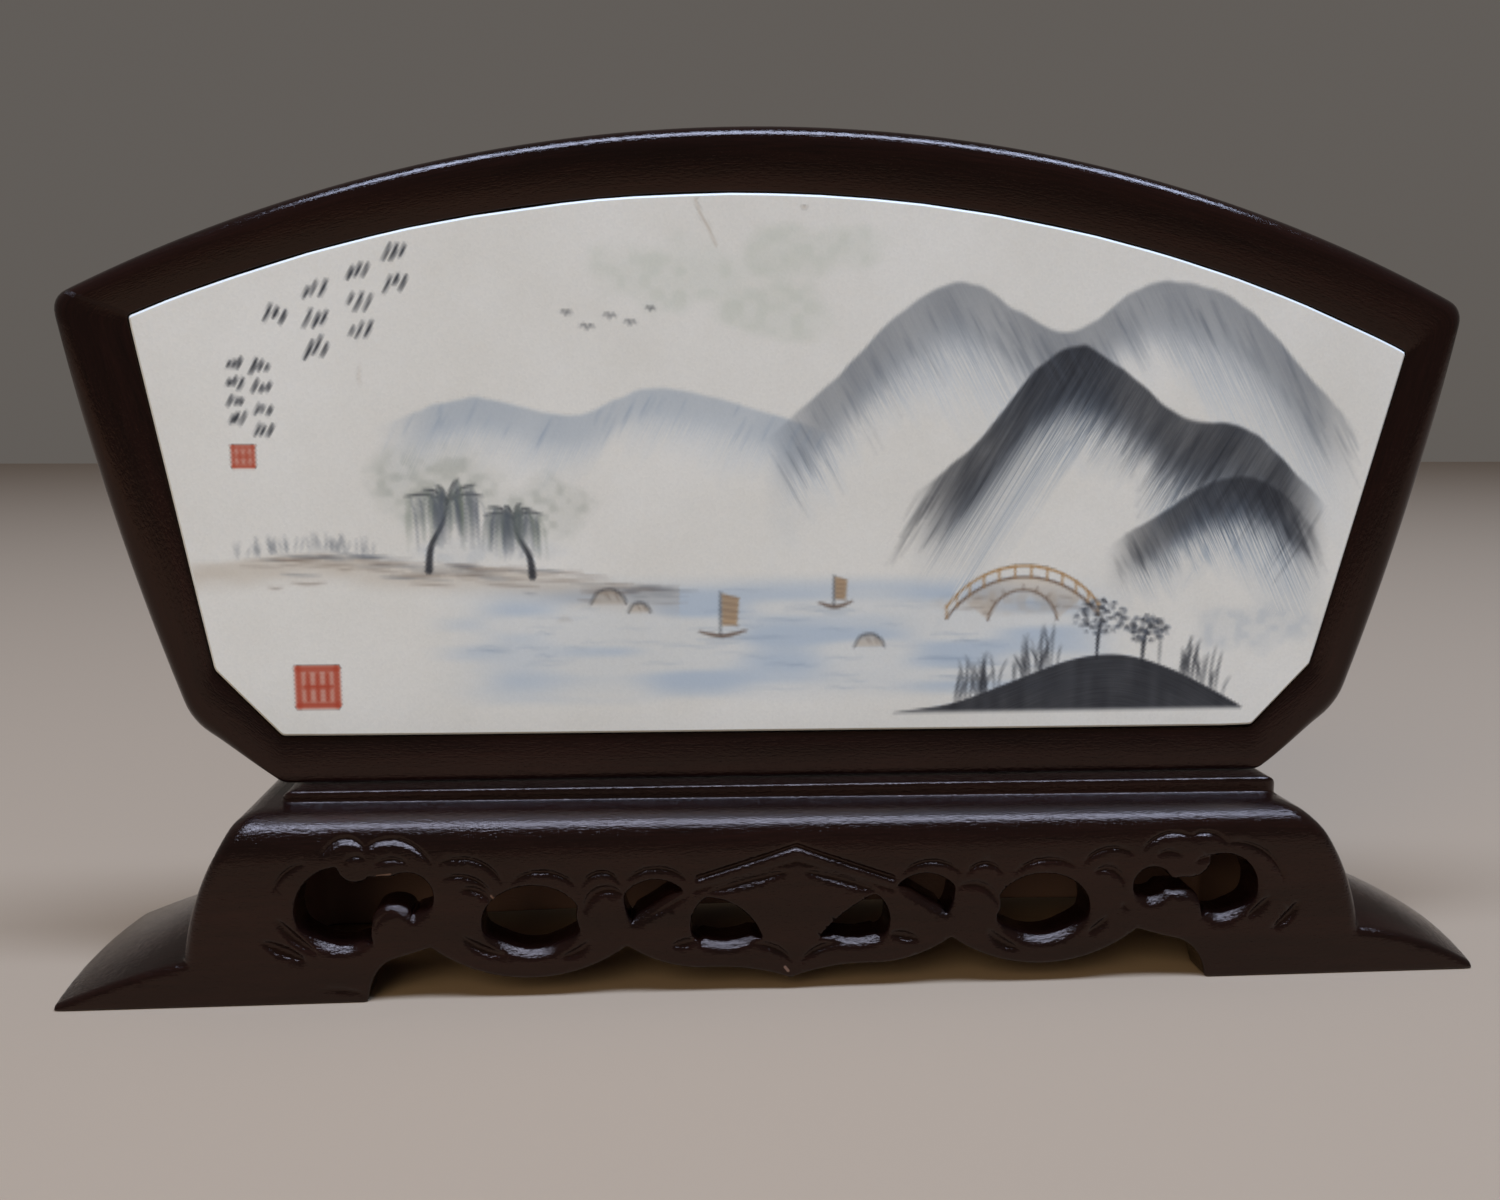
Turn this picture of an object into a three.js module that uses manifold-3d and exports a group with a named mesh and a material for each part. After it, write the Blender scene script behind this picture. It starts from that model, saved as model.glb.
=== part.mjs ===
// Table screen: a painted marble slab in a fan-shaped lacquered frame, on its carved stand.
// Millimetres, +Z up, front towards -Y. The origin is on the table under the middle of the stand.
import * as THREE from 'three';
import { mergeVertices } from 'three/addons/utils/BufferGeometryUtils.js';
import Module from 'manifold-3d';

// Stand: overall sizes
const standHalfDepth = 28;
const bodyHalfLength = 132.8;
const bodyHeight = 40.3;
const shoulderRise = 9.2;
const shoulderRadius = 11;
const endReach = 38.6;
const endCurveHeight = { left: 54, right: 50 };
const apronThickness = 10;
const hollowHalfLength = 112;
const hollowRoof = 6.8;
const hollowHeight = bodyHeight - hollowRoof;
const shoulderFoot = bodyHeight - shoulderRise;

// Stand: the step under the frame
const plateHalfLength = 115.2;
const plateShift = 1.8;
const plateHalfDepth = 14;
const plateHeight = 3.4;
const plateEdgeEase = 0.7;
const plateEndRound = 3;
const plateRootDepth = 2.5;

// Stand: the feet that run out at both ends
const footReach = 26.4;
const footTipBow = 1.5;
const footTipHeight = 1;
const footRidgeHeight = 10.2;
const footRoot = 6;
const footTop = {
  left: { crownAtBody: 4.2, crownAtTip: 0.8, fall: 1.4 },
  right: { crownAtBody: 6.4, crownAtTip: 2.9, fall: 2 },
};

// Stand: lower edge of the apron, on the right of the middle. From here to the frame, the
// heights of the carving are shares of the body's height.
const footInner = { left: 92.8, right: 95.4 };
const footShoulder = atHeight({ x: 86, z: 0.2432 });
const footKneeInset = 1.2;
const footKneeDrop = 1;
const outerCusp = atHeight({ x: 79, z: 0.2953 });
const outerScallop = atHeight({ x: 57.4, z: 0.1067 });
const innerCusp = atHeight({ x: 36.3, z: 0.2754 });
const innerScallop = atHeight({ x: 20, z: 0.1365 });
const innerScallopHaunch = atHeight({ x: 29, z: 0.1811 });
const pendantNeck = atHeight({ x: 9, z: 0.1489 });
const pendantTip = atHeight({ x: 0, z: 0.0645 });
const backArch = { foot: 1.6, crown: 3 };

// Stand: piercings of the apron
const leftKidney = atHeight({
  ball: { x: -97.8, z: 0.5161, r: 10.1 },
  lobe: { x: -83.8, z: 0.5806, r: 5.9 },
  waist: { x: -89, z: 0.5608, halfLength: 6, halfHeight: 6 },
  knobs: [{ x: -94.5, z: 0.7742, r: 3.8 }, { x: -87.1, z: 0.3821, r: 4.4 }],
});
const rightKidney = atHeight({
  ball: { x: 98.6, z: 0.5211, r: 8.3 },
  lobe: { x: 82.3, z: 0.5434, r: 4.7 },
  waist: { x: 90, z: 0.536, halfLength: 7, halfHeight: 2.4 },
  knobs: [{ x: 91, z: 0.7047, r: 4.4 }, { x: 88.6, z: 0.3524, r: 5.2 }],
});
const oval = atHeight({ x: 57, z: 0.4268, halfLength: 11, halfHeight: 8.5 });
const ovalKnob = atHeight({ x: 41.2, z: 0.4566, r: 6 });
const leaf = atHeight({
  tip: { x: 23.6, z: 0.5831 },
  back: { x: 30.2, z: 0.6551 },
  heel: { x: 37, z: 0.5707 },
  toe: { x: 35.2, z: 0.3871 },
});
const leafHollow = 0.5;
const pane = atHeight({
  top: { x: 18.8, z: 0.5459 },
  side: { x: 22.4, z: 0.3772 },
  low: { x: 20.6, z: 0.2605 },
  inner: { x: 6, z: 0.2953 },
});
const paneBelly = atHeight({ x: 13.6, z: 0.2333 });
const diamondHollow = 1.6;

// Stand: lines cut into the apron
const lineWidth = 1.6;
const lineDepth = 0.8;
const lineEndShare = 0.25;
const barWidth = 1.9;
const barDepth = 0.9;
const chevronPeak = atHeight({ x: 0, z: 0.8189 });
const chevron = { halfSpan: 21.6, drop: 7.1, gap: 2.6, start: 0.9 };
const flutes = atHeight({ x: 10.6, z: 0.6253, halfLength: 8.4, halfWidth: 1.4, depth: 1, fall: 0.3 });
const gouges = atHeight([{ x: -109.8, z: 0.3201, tilt: -0.55 }, { x: 112.1, z: 0.3697, tilt: 0.8 }]);
const gougeSize = { halfLength: 5, halfWidth: 1.3, depth: 1 };
const arches = atHeight([
  { from: { x: -101.4, z: 0.8288 }, over: { x: -96.6, z: 0.8983 }, to: { x: -92.4, z: 0.8561 } },
  { from: { x: -92.4, z: 0.8561 }, over: { x: -86.2, z: 0.8908 }, to: { x: -78.2, z: 0.7692 } },
  { from: { x: -112, z: 0.6352 }, over: { x: -109.4, z: 0.7345 }, to: { x: -105, z: 0.7866 } },
  { from: { x: -76.8, z: 0.7692 }, over: { x: -69.4, z: 0.7841 }, to: { x: -63.2, z: 0.6551 } },
  { from: { x: -76, z: 0.6849 }, over: { x: -70, z: 0.6849 }, to: { x: -65.4, z: 0.5806 } },
  { from: { x: -61.4, z: 0.6526 }, over: { x: -54.4, z: 0.7097 }, to: { x: -47.4, z: 0.6303 } },
  { from: { x: -45.8, z: 0.6303 }, over: { x: -41.6, z: 0.6998 }, to: { x: -37.8, z: 0.6352 } },
  { from: { x: -36.4, z: 0.6501 }, over: { x: -29.4, z: 0.7146 }, to: { x: -23, z: 0.6452 } },
  { from: { x: 24.8, z: 0.6551 }, over: { x: 31.6, z: 0.7196 }, to: { x: 38.2, z: 0.6501 } },
  { from: { x: 39.4, z: 0.6402 }, over: { x: 43.4, z: 0.6998 }, to: { x: 47.6, z: 0.6402 } },
  { from: { x: 50.2, z: 0.6402 }, over: { x: 57.6, z: 0.7146 }, to: { x: 64.4, z: 0.67 } },
  { from: { x: 65.8, z: 0.6849 }, over: { x: 71.8, z: 0.7692 }, to: { x: 77.4, z: 0.7395 } },
  { from: { x: 79.4, z: 0.7543 }, over: { x: 85, z: 0.8412 }, to: { x: 90.6, z: 0.8288 } },
  { from: { x: 90.6, z: 0.8288 }, over: { x: 95.2, z: 0.8412 }, to: { x: 99, z: 0.7841 } },
  { from: { x: 99, z: 0.7841 }, over: { x: 107.4, z: 0.7395 }, to: { x: 112.6, z: 0.5707 } },
]);

// Frame: a board of even thickness with a crowned face
const seatClearance = 0.3;
const frameHalfDepth = 8;
const frameHalfTop = 159.2;
const frameShoulderHeight = 152.2;
const frameApex = 190.4;
const frameHalfSide = 134.2;
const frameSideHeight = 57.8;
const frameHalfFoot = 114.4;
const frameSideBow = 2;
const frameTopCorner = 4;
const frameSideCorner = 5;
const frameFootCorner = 1.5;
const frameEdgeRound = 4;
const frameFootEase = 0.6;
const frameFaceDish = 0.7;
const frameBackEase = 1.2;

// Slab: a little out of square in its frame, as the photo shows
const slabThickness = 6;
const slabInset = 0.4;
const slabEdgeEase = 0.5;
const slabCorner = 0.9;
const slabLeft = { top: { x: -142.4, z: 148.2 }, side: { x: -128.2, z: 70.4 }, foot: { x: -113.8, z: 54.8 } };
const slabRight = { top: { x: 144.9, z: 141.8 }, side: { x: 126.4, z: 68.8 }, foot: { x: 112.4, z: 53.8 } };
const slabCrown = { x: -6, z: 175.7 };

// Fineness of the round stretches
const topArcSteps = 26;
const sideSteps = 4;
const cornerSteps = 3;
const roundSteps = 4;
const circleSteps = 28;
const bodyEndSteps = 12;
const gougeSteps = { around: 10, along: 6 };
const chevronSteps = 3;
const archSteps = 8;
const cutOver = 2;

const lacquer = { color: 0x1d1413, roughness: 0.22, metalness: 0 };
const marble = { color: 0xe9e4da, roughness: 0.45, metalness: 0 };

const wasm = await Module();
wasm.setup();

const point = ({ x, z }) => new THREE.Vector2(x, z);
const mirrored = ({ x, z }) => ({ x: -x, z });

// Carving that is drawn with its heights as shares of the body's height, in millimetres
function atHeight(drawn) {
  if (Array.isArray(drawn)) return drawn.map(atHeight);
  if (typeof drawn !== 'object') return drawn;
  const placed = Object.entries(drawn).map(([key, value]) => [
    key, key === 'z' ? value * bodyHeight : atHeight(value),
  ]);
  return Object.fromEntries(placed);
}

// A closed mesh as a solid, and a solid as a mesh
function solidOf(geometry) {
  geometry.deleteAttribute('normal');
  geometry.deleteAttribute('uv');
  const merged = mergeVertices(geometry, 1e-5);
  return new wasm.Manifold(new wasm.Mesh({
    numProp: 3,
    vertProperties: new Float32Array(merged.attributes.position.array),
    triVerts: new Uint32Array(merged.index.array),
  }));
}

function geometryOf(solid) {
  const { vertProperties, triVerts, numProp } = solid.getMesh();
  const positions = [];
  for (let i = 0; i < vertProperties.length; i += numProp) {
    positions.push(vertProperties[i], vertProperties[i + 1], vertProperties[i + 2]);
  }
  const geometry = new THREE.BufferGeometry();
  geometry.setAttribute('position', new THREE.Float32BufferAttribute(positions, 3));
  geometry.setIndex(Array.from(triVerts));
  geometry.computeVertexNormals();
  return geometry;
}

// The arc of a circle from a over b to c, with both ends
function arcThrough(a, b, c, steps) {
  const [p, q, r] = [point(a), point(b), point(c)];
  const turn = 2 * (p.x * (q.y - r.y) + q.x * (r.y - p.y) + r.x * (p.y - q.y));
  const [pp, qq, rr] = [p.lengthSq(), q.lengthSq(), r.lengthSq()];
  const centre = new THREE.Vector2(
    (pp * (q.y - r.y) + qq * (r.y - p.y) + rr * (p.y - q.y)) / turn,
    (pp * (r.x - q.x) + qq * (p.x - r.x) + rr * (q.x - p.x)) / turn,
  );
  const radius = centre.distanceTo(p);
  const start = p.clone().sub(centre).angle();
  const end = r.clone().sub(centre).angle();
  const full = 2 * Math.PI;
  const counterClockwise = turn > 0;
  const sweep = counterClockwise ? (end - start + full) % full : -((start - end + full) % full);
  return Array.from({ length: steps + 1 }, (_, i) => {
    const angle = start + sweep * i / steps;
    return new THREE.Vector2(centre.x + radius * Math.cos(angle), centre.y + radius * Math.sin(angle));
  });
}

// A solid whose front outline (x, z) runs through the depth from y = near to y = far
function throughDepth(outline, near, far) {
  const geometry = new THREE.ExtrudeGeometry(new THREE.Shape(outline), {
    depth: far - near, bevelEnabled: false, curveSegments: 1,
  });
  geometry.rotateX(Math.PI / 2);
  geometry.translate(0, far, 0);
  return solidOf(geometry);
}

// A solid whose end section (y, z) runs along the whole length
function alongLength(section, halfLength) {
  const geometry = new THREE.ExtrudeGeometry(new THREE.Shape(section), {
    depth: 2 * halfLength, bevelEnabled: false, curveSegments: 1,
  });
  const axes = new THREE.Matrix4().makeBasis(
    new THREE.Vector3(0, 1, 0), new THREE.Vector3(0, 0, 1), new THREE.Vector3(1, 0, 0),
  );
  geometry.applyMatrix4(axes);
  geometry.translate(-halfLength, 0, 0);
  return solidOf(geometry);
}

// A closed skin over loops of equally many points, with a flat cap on the first and the last
function skinOver(loops, capAxes) {
  const count = loops[0].length;
  const positions = loops.flat().flatMap((p) => [p.x, p.y, p.z]);
  const triangles = [];
  for (let ring = 0; ring + 1 < loops.length; ring += 1) {
    for (let i = 0; i < count; i += 1) {
      const next = (i + 1) % count;
      const [a, b] = [ring * count + i, ring * count + next];
      triangles.push(a, b, a + count, b, b + count, a + count);
    }
  }
  const cap = (loop, offset, reversed) => {
    const flat = loop.map((p) => new THREE.Vector2(p[capAxes[0]], p[capAxes[1]]));
    for (const [a, b, c] of THREE.ShapeUtils.triangulateShape(flat, [])) {
      const [first, last] = reversed ? [c, a] : [a, c];
      triangles.push(offset + first, offset + b, offset + last);
    }
  };
  const turning = THREE.ShapeUtils.area(loops[0].map((p) => new THREE.Vector2(p[capAxes[0]], p[capAxes[1]])));
  cap(loops[0], 0, turning > 0);
  cap(loops.at(-1), (loops.length - 1) * count, turning <= 0);
  const geometry = new THREE.BufferGeometry();
  geometry.setAttribute('position', new THREE.Float32BufferAttribute(positions, 3));
  geometry.setIndex(volumeOf(positions, triangles) < 0 ? triangles.reverse() : triangles);
  return geometry;
}

function volumeOf(positions, triangles) {
  let volume = 0;
  const corner = (i) => new THREE.Vector3().fromArray(positions, 3 * triangles[i]);
  for (let i = 0; i < triangles.length; i += 3) {
    volume += corner(i).dot(corner(i + 1).cross(corner(i + 2))) / 6;
  }
  return volume;
}

// Edges that meet at corners, each corner rounded over its own reach
function roundedOutline(edges) {
  const outline = [];
  edges.forEach(({ curve, steps, corner }, index) => {
    const before = edges[(index + edges.length - 1) % edges.length];
    const length = curve(0).distanceTo(curve(1));
    const first = before.corner / length;
    const last = 1 - corner / length;
    for (let i = 0; i <= steps; i += 1) outline.push(curve(first + (last - first) * i / steps));
    const after = edges[(index + 1) % edges.length];
    const from = curve(last);
    const tip = curve(1);
    const to = after.curve(corner / after.curve(0).distanceTo(after.curve(1)));
    const bend = new THREE.QuadraticBezierCurve(from, tip, to);
    for (let i = 1; i < cornerSteps; i += 1) outline.push(bend.getPoint(i / cornerSteps));
  });
  return outline;
}

function straight(a, b) {
  return (t) => point(a).lerp(point(b), t);
}

// A gentle bow between two corners, standing out by its own height in the middle
function bowed(a, b, height) {
  const [p, q] = [point(a), point(b)];
  const outward = new THREE.Vector2(q.y - p.y, p.x - q.x).normalize();
  return (t) => p.clone().lerp(q, t).addScaledVector(outward, -4 * height * t * (1 - t));
}

function archedTop(a, crown, b) {
  const fine = 400;
  const arc = arcThrough(a, crown, b, fine);
  return (t) => {
    const place = Math.min(Math.max(t, 0), 1) * fine;
    const i = Math.min(Math.floor(place), fine - 1);
    return arc[i].clone().lerp(arc[i + 1], place - i);
  };
}

// Fan outline, clockwise from the top left corner
function fanOutline({ left, right, crown, sideBow, topCorner, sideCorner, footCorner }) {
  return roundedOutline([
    { curve: archedTop(left.top, crown, right.top), steps: topArcSteps, corner: topCorner },
    { curve: bowed(right.top, right.side, sideBow), steps: sideSteps, corner: sideCorner },
    { curve: straight(right.side, right.foot), steps: 1, corner: footCorner },
    { curve: straight(right.foot, left.foot), steps: sideSteps, corner: footCorner },
    { curve: straight(left.foot, left.side), steps: 1, corner: sideCorner },
    { curve: bowed(left.side, left.top, sideBow), steps: sideSteps, corner: topCorner },
  ]);
}

const frameFoot = bodyHeight + plateHeight + seatClearance;
const frameRight = {
  top: { x: frameHalfTop, z: frameShoulderHeight },
  side: { x: frameHalfSide, z: frameSideHeight },
  foot: { x: frameHalfFoot, z: frameFoot },
};
const frameOutline = fanOutline({
  left: { top: mirrored(frameRight.top), side: mirrored(frameRight.side), foot: mirrored(frameRight.foot) },
  right: frameRight,
  crown: { x: 0, z: frameApex },
  sideBow: frameSideBow,
  topCorner: frameTopCorner,
  sideCorner: frameSideCorner,
  footCorner: frameFootCorner,
});
const slabOutline = fanOutline({
  left: slabLeft,
  right: slabRight,
  crown: slabCrown,
  sideBow: 0,
  topCorner: slabCorner,
  sideCorner: slabCorner,
  footCorner: slabCorner,
});

// Moves each point of an outline by a distance along its outward normal
function grown(outline, distance) {
  const count = outline.length;
  return outline.map((p, i) => {
    const along = outline[(i + 1) % count].clone().sub(outline[(i + count - 1) % count]).normalize();
    return new THREE.Vector2(p.x - along.y * distance, p.y + along.x * distance);
  });
}

const atDepth = (outline, y) => outline.map((p) => new THREE.Vector3(p.x, y, p.y));

// The recess takes the slab with its clearance all round and behind
const recessOutline = grown(slabOutline, seatClearance);
const recessDepth = slabInset + slabThickness + seatClearance;

// The outer edge is rounded, but for a small ease along the foot, which stands on the step
function edgeRoundAt(z) {
  const rise = Math.min(Math.max((z - frameFoot) / (frameSideHeight - frameFoot), 0), 1);
  return frameFootEase + (frameEdgeRound - frameFootEase) * rise;
}

function frameMesh() {
  const faceTowards = (insetOf, depthOf) => frameOutline.map((p, i) => {
    const round = edgeRoundAt(p.y);
    const inward = recessOutline[i].clone().sub(p).normalize();
    const place = p.clone().addScaledVector(inward, insetOf(round));
    return new THREE.Vector3(place.x, depthOf(round), place.y);
  });
  const front = -frameHalfDepth;
  const loops = [
    faceTowards(() => frameBackEase, () => frameHalfDepth),
    faceTowards(() => 0, () => frameHalfDepth - frameBackEase),
  ];
  for (let i = 0; i <= roundSteps; i += 1) {
    const angle = Math.PI / 2 * i / roundSteps;
    loops.push(faceTowards(
      (round) => round * (1 - Math.cos(angle)), (round) => front + round * (1 - Math.sin(angle)),
    ));
  }
  loops.push(atDepth(recessOutline, front + frameFaceDish));
  loops.push(atDepth(recessOutline, front + recessDepth));
  return skinOver(loops, ['x', 'z']);
}

function slabMesh() {
  const face = -frameHalfDepth + slabInset;
  return skinOver([
    atDepth(slabOutline, face + slabThickness),
    atDepth(slabOutline, face + slabEdgeEase),
    atDepth(grown(slabOutline, -slabEdgeEase), face),
  ], ['x', 'z']);
}

// Half a section of the shoulder, a round that ends at the level top
function shoulderCurve() {
  const sweep = Math.asin(shoulderRise / shoulderRadius);
  return Array.from({ length: 2 * roundSteps + 1 }, (_, i) => {
    const angle = sweep * i / (2 * roundSteps);
    return new THREE.Vector2(
      standHalfDepth - shoulderRadius * (1 - Math.cos(angle)), shoulderFoot + shoulderRadius * Math.sin(angle),
    );
  });
}

// Where the apron's face lies in depth at a height: flat below, rolling back over the shoulder
function faceAt(z) {
  const rise = Math.min(Math.max(z - shoulderFoot, 0), shoulderRise);
  return -standHalfDepth + shoulderRadius - Math.sqrt(shoulderRadius ** 2 - rise ** 2);
}

function endAt(z, side) {
  return bodyHalfLength - endReach * (1 - Math.sqrt(1 - (z / endCurveHeight[side]) ** 2));
}

function bothSides(half) {
  return [...half, ...half.map((p) => new THREE.Vector2(-p.x, p.y)).reverse()];
}

function bodySolid() {
  const section = bothSides([new THREE.Vector2(standHalfDepth, 0), ...shoulderCurve()]);
  const heights = Array.from({ length: bodyEndSteps + 1 }, (_, i) => bodyHeight * i / bodyEndSteps);
  const outline = [
    ...heights.map((z) => new THREE.Vector2(endAt(z, 'right'), z)),
    ...heights.map((z) => new THREE.Vector2(-endAt(z, 'left'), z)).reverse(),
  ];
  return alongLength(section, bodyHalfLength + cutOver)
    .intersect(throughDepth(outline, -standHalfDepth - cutOver, standHalfDepth + cutOver));
}

// The step is sunk into the body, which it is carved from
function plateSolid() {
  const top = bodyHeight + plateHeight;
  const low = bodyHeight - plateRootDepth;
  const section = bothSides([
    new THREE.Vector2(plateHalfDepth, low),
    new THREE.Vector2(plateHalfDepth, top - plateEdgeEase),
    new THREE.Vector2(plateHalfDepth - plateEdgeEase, top),
  ]);
  const round = Array.from({ length: roundSteps + 1 }, (_, i) => {
    const angle = Math.PI / 2 * i / roundSteps;
    return new THREE.Vector2(
      plateHalfLength - plateEndRound * (1 - Math.cos(angle)), top - plateEndRound * (1 - Math.sin(angle)),
    );
  });
  return alongLength(section, plateHalfLength + cutOver)
    .intersect(throughDepth(
      bothSides([new THREE.Vector2(plateHalfLength, low), ...round]),
      -plateHalfDepth - cutOver, plateHalfDepth + cutOver,
    ))
    .translate([plateShift, 0, 0]);
}

// A foot falls from the body to a thin bowed tip, and its top is crowned across the depth
function footSolid(hand) {
  const side = hand === 'right' ? 1 : -1;
  const { crownAtBody, crownAtTip, fall } = footTop[hand];
  const root = bodyHalfLength - footRoot;
  const across = 2 * roundSteps;
  const loops = [];
  for (let i = 0; i <= across; i += 1) {
    const out = i / across;
    const ridge = footTipHeight + (footRidgeHeight - footTipHeight) * (1 - out ** fall);
    const crown = crownAtBody + (crownAtTip - crownAtBody) * out;
    const section = [];
    for (let j = 0; j <= across; j += 1) {
      const t = 2 * j / across - 1;
      const reach = bodyHalfLength + footReach - root + footTipBow * (1 - t * t);
      section.push(new THREE.Vector3(
        side * (root + reach * out), standHalfDepth * t, ridge + crown * (1 - t * t),
      ));
    }
    const [near, far] = [section[0], section.at(-1)];
    loops.push([new THREE.Vector3(near.x, near.y, 0), ...section, new THREE.Vector3(far.x, far.y, 0)]);
  }
  return solidOf(skinOver(loops, ['y', 'z']));
}

function hollowSolid() {
  const geometry = new THREE.BoxGeometry(
    2 * hollowHalfLength, 2 * (standHalfDepth - apronThickness), hollowHeight + cutOver,
  );
  geometry.translate(0, 0, (hollowHeight - cutOver) / 2);
  return solidOf(geometry);
}

const cutBehind = -standHalfDepth + apronThickness + cutOver;
const cutBefore = -standHalfDepth - cutOver;

// Lower edge of the front apron: feet, two scallops a side and a pendant in the middle
function frontUndercut() {
  const scallops = [
    ...arcThrough(outerCusp, outerScallop, innerCusp, 2 * archSteps),
    ...arcThrough(innerCusp, innerScallopHaunch, innerScallop, archSteps).slice(1),
    ...new THREE.QuadraticBezierCurve(
      point(innerScallop), point(pendantNeck), point(pendantTip),
    ).getPoints(archSteps).slice(1),
  ];
  const footEdge = (inner) => [
    new THREE.Vector2(inner, -cutOver),
    new THREE.Vector2(inner, 0),
    ...new THREE.QuadraticBezierCurve(
      new THREE.Vector2(inner, 0), footKnee(inner), point(footShoulder),
    ).getPoints(archSteps / 2).slice(1),
  ];
  const flipped = (half) => half.map((p) => new THREE.Vector2(-p.x, p.y)).reverse();
  return throughDepth([
    ...footEdge(footInner.right), ...scallops,
    ...flipped([...footEdge(footInner.left), ...scallops.slice(0, -1)]),
  ], cutBefore, cutBehind);
}

const footKnee = (inner) => new THREE.Vector2(inner - footKneeInset, footShoulder.z - footKneeDrop);

function backUndercut() {
  const [right, left] = [footInner.right, -footInner.left];
  const arch = arcThrough(
    { x: right, z: backArch.foot }, { x: (left + right) / 2, z: backArch.crown },
    { x: left, z: backArch.foot }, 2 * archSteps,
  );
  const outline = [new THREE.Vector2(right, -cutOver), ...arch, new THREE.Vector2(left, -cutOver)];
  return throughDepth(outline, -cutBehind, -cutBefore);
}

function ellipse({ x, z, halfLength, halfHeight }) {
  const curve = new THREE.EllipseCurve(x, z, halfLength, halfHeight, 0, 2 * Math.PI);
  return curve.getPoints(circleSteps).slice(0, -1);
}

const disc = ({ x, z, r }) => ellipse({ x, z, halfLength: r, halfHeight: r });
const pierced = (outline) => throughDepth(outline, cutBefore, cutBehind);

// Two round lobes joined at a waist, with round knobs of wood left standing into them
function kidneySolid({ ball, lobe, waist, knobs }) {
  const open = pierced(disc(ball)).add(pierced(disc(lobe))).add(pierced(ellipse(waist)));
  const knobDepth = standHalfDepth + 2 * cutOver;
  return knobs.reduce(
    (rest, knob) => rest.subtract(throughDepth(disc(knob), -knobDepth, cutBehind + cutOver)), open,
  );
}

function ovalSolid(side) {
  const knobDepth = standHalfDepth + 2 * cutOver;
  const knob = throughDepth(disc({ ...ovalKnob, x: side * ovalKnob.x }), -knobDepth, cutBehind + cutOver);
  return pierced(ellipse({ ...oval, x: side * oval.x })).subtract(knob);
}

// A side between two corners that bows by a small amount in its middle
function hollowed(a, b, push) {
  const [p, q] = [point(a), point(b)];
  const outward = new THREE.Vector2(q.y - p.y, p.x - q.x).normalize();
  const middle = p.lerp(q, 0.5).addScaledVector(outward, push);
  return arcThrough(a, { x: middle.x, z: middle.y }, b, archSteps);
}

function leafSolid(side) {
  const outline = [
    ...arcThrough(leaf.tip, leaf.back, leaf.heel, archSteps),
    ...hollowed(leaf.heel, leaf.toe, leafHollow).slice(1),
    ...hollowed(leaf.toe, leaf.tip, leafHollow).slice(1, -1),
  ];
  return pierced(outline.map((p) => new THREE.Vector2(side * p.x, p.y)));
}

// The pane beside the middle diamond, whose side bows into it
function paneSolid(side) {
  const outline = [
    ...arcThrough(pane.top, pane.side, pane.low, archSteps),
    ...arcThrough(pane.low, paneBelly, pane.inner, archSteps).slice(1),
    ...hollowed(pane.inner, pane.top, -diamondHollow).slice(1, -1),
  ];
  return pierced(outline.map((p) => new THREE.Vector2(side * p.x, p.y)));
}

// A V-shaped line cut along a path on the apron's face, dying out at both ends
function cutLine(path, width, depth) {
  const over = depth;
  const loops = path.map((p, i) => {
    const before = path[Math.max(i - 1, 0)];
    const after = path[Math.min(i + 1, path.length - 1)];
    const along = after.clone().sub(before).normalize();
    const share = i / (path.length - 1);
    const swell = lineEndShare + (1 - lineEndShare) * Math.sin(Math.PI * share) ** 0.5;
    const half = width / 2 * swell * (depth * swell + over) / (depth * swell);
    const side = (way) => {
      const z = p.y + way * along.x * half;
      return new THREE.Vector3(p.x - way * along.y * half, faceAt(z) - over, z);
    };
    return [side(1), side(-1), new THREE.Vector3(p.x, faceAt(p.y) + depth * swell, p.y)];
  });
  return solidOf(skinOver(loops, ['y', 'z']));
}

const archLine = ({ from, over, to }) => cutLine(arcThrough(from, over, to, archSteps), lineWidth, lineDepth);

function chevronLines() {
  const { halfSpan, drop, gap, start } = chevron;
  return [1, -1].flatMap((side) => [0, gap].map((down) => {
    const path = Array.from({ length: chevronSteps + 1 }, (_, i) => {
      const share = (start + (halfSpan - start - down) * i / chevronSteps) / halfSpan;
      return new THREE.Vector2(side * halfSpan * share, chevronPeak.z - down - drop * share);
    });
    return cutLine(path, barWidth, barDepth);
  }));
}

// A boat-shaped hollow, as one push of a gouge leaves
function gougeCut({ x, z, tilt, halfLength, halfWidth, depth }) {
  const geometry = new THREE.SphereGeometry(1, gougeSteps.around, gougeSteps.along);
  geometry.scale(halfLength, depth, halfWidth);
  geometry.rotateY(-tilt);
  geometry.translate(x, -standHalfDepth, z);
  return solidOf(geometry);
}

function standMesh() {
  const cuts = [
    hollowSolid(), frontUndercut(), backUndercut(), kidneySolid(leftKidney), kidneySolid(rightKidney),
    ...[1, -1].flatMap((side) => [ovalSolid(side), leafSolid(side), paneSolid(side)]),
    ...arches.map(archLine),
    ...chevronLines(),
    ...[1, -1].map((side) => gougeCut({ ...flutes, x: side * flutes.x, tilt: -side * flutes.fall })),
    ...gouges.map((gouge) => gougeCut({ ...gougeSize, ...gouge })),
  ];
  const block = bodySolid().add(plateSolid()).add(footSolid('right')).add(footSolid('left'));
  return geometryOf(cuts.reduce((rest, cut) => rest.subtract(cut), block));
}

function piece(name, geometry, finish) {
  const mesh = new THREE.Mesh(geometry, new THREE.MeshStandardMaterial({ ...finish, flatShading: true }));
  mesh.name = name;
  return mesh;
}

const screen = new THREE.Group();
screen.name = 'table_screen';
screen.add(
  piece('stand', standMesh(), lacquer),
  piece('frame', frameMesh(), lacquer),
  piece('marble_slab', slabMesh(), marble),
);

export default screen;
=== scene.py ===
"""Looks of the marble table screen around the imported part: stand, frame, painted slab, light and camera.

Lengths in the classes are millimetres in the part's own frame, and every mesh is made in metres.
"""

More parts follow.
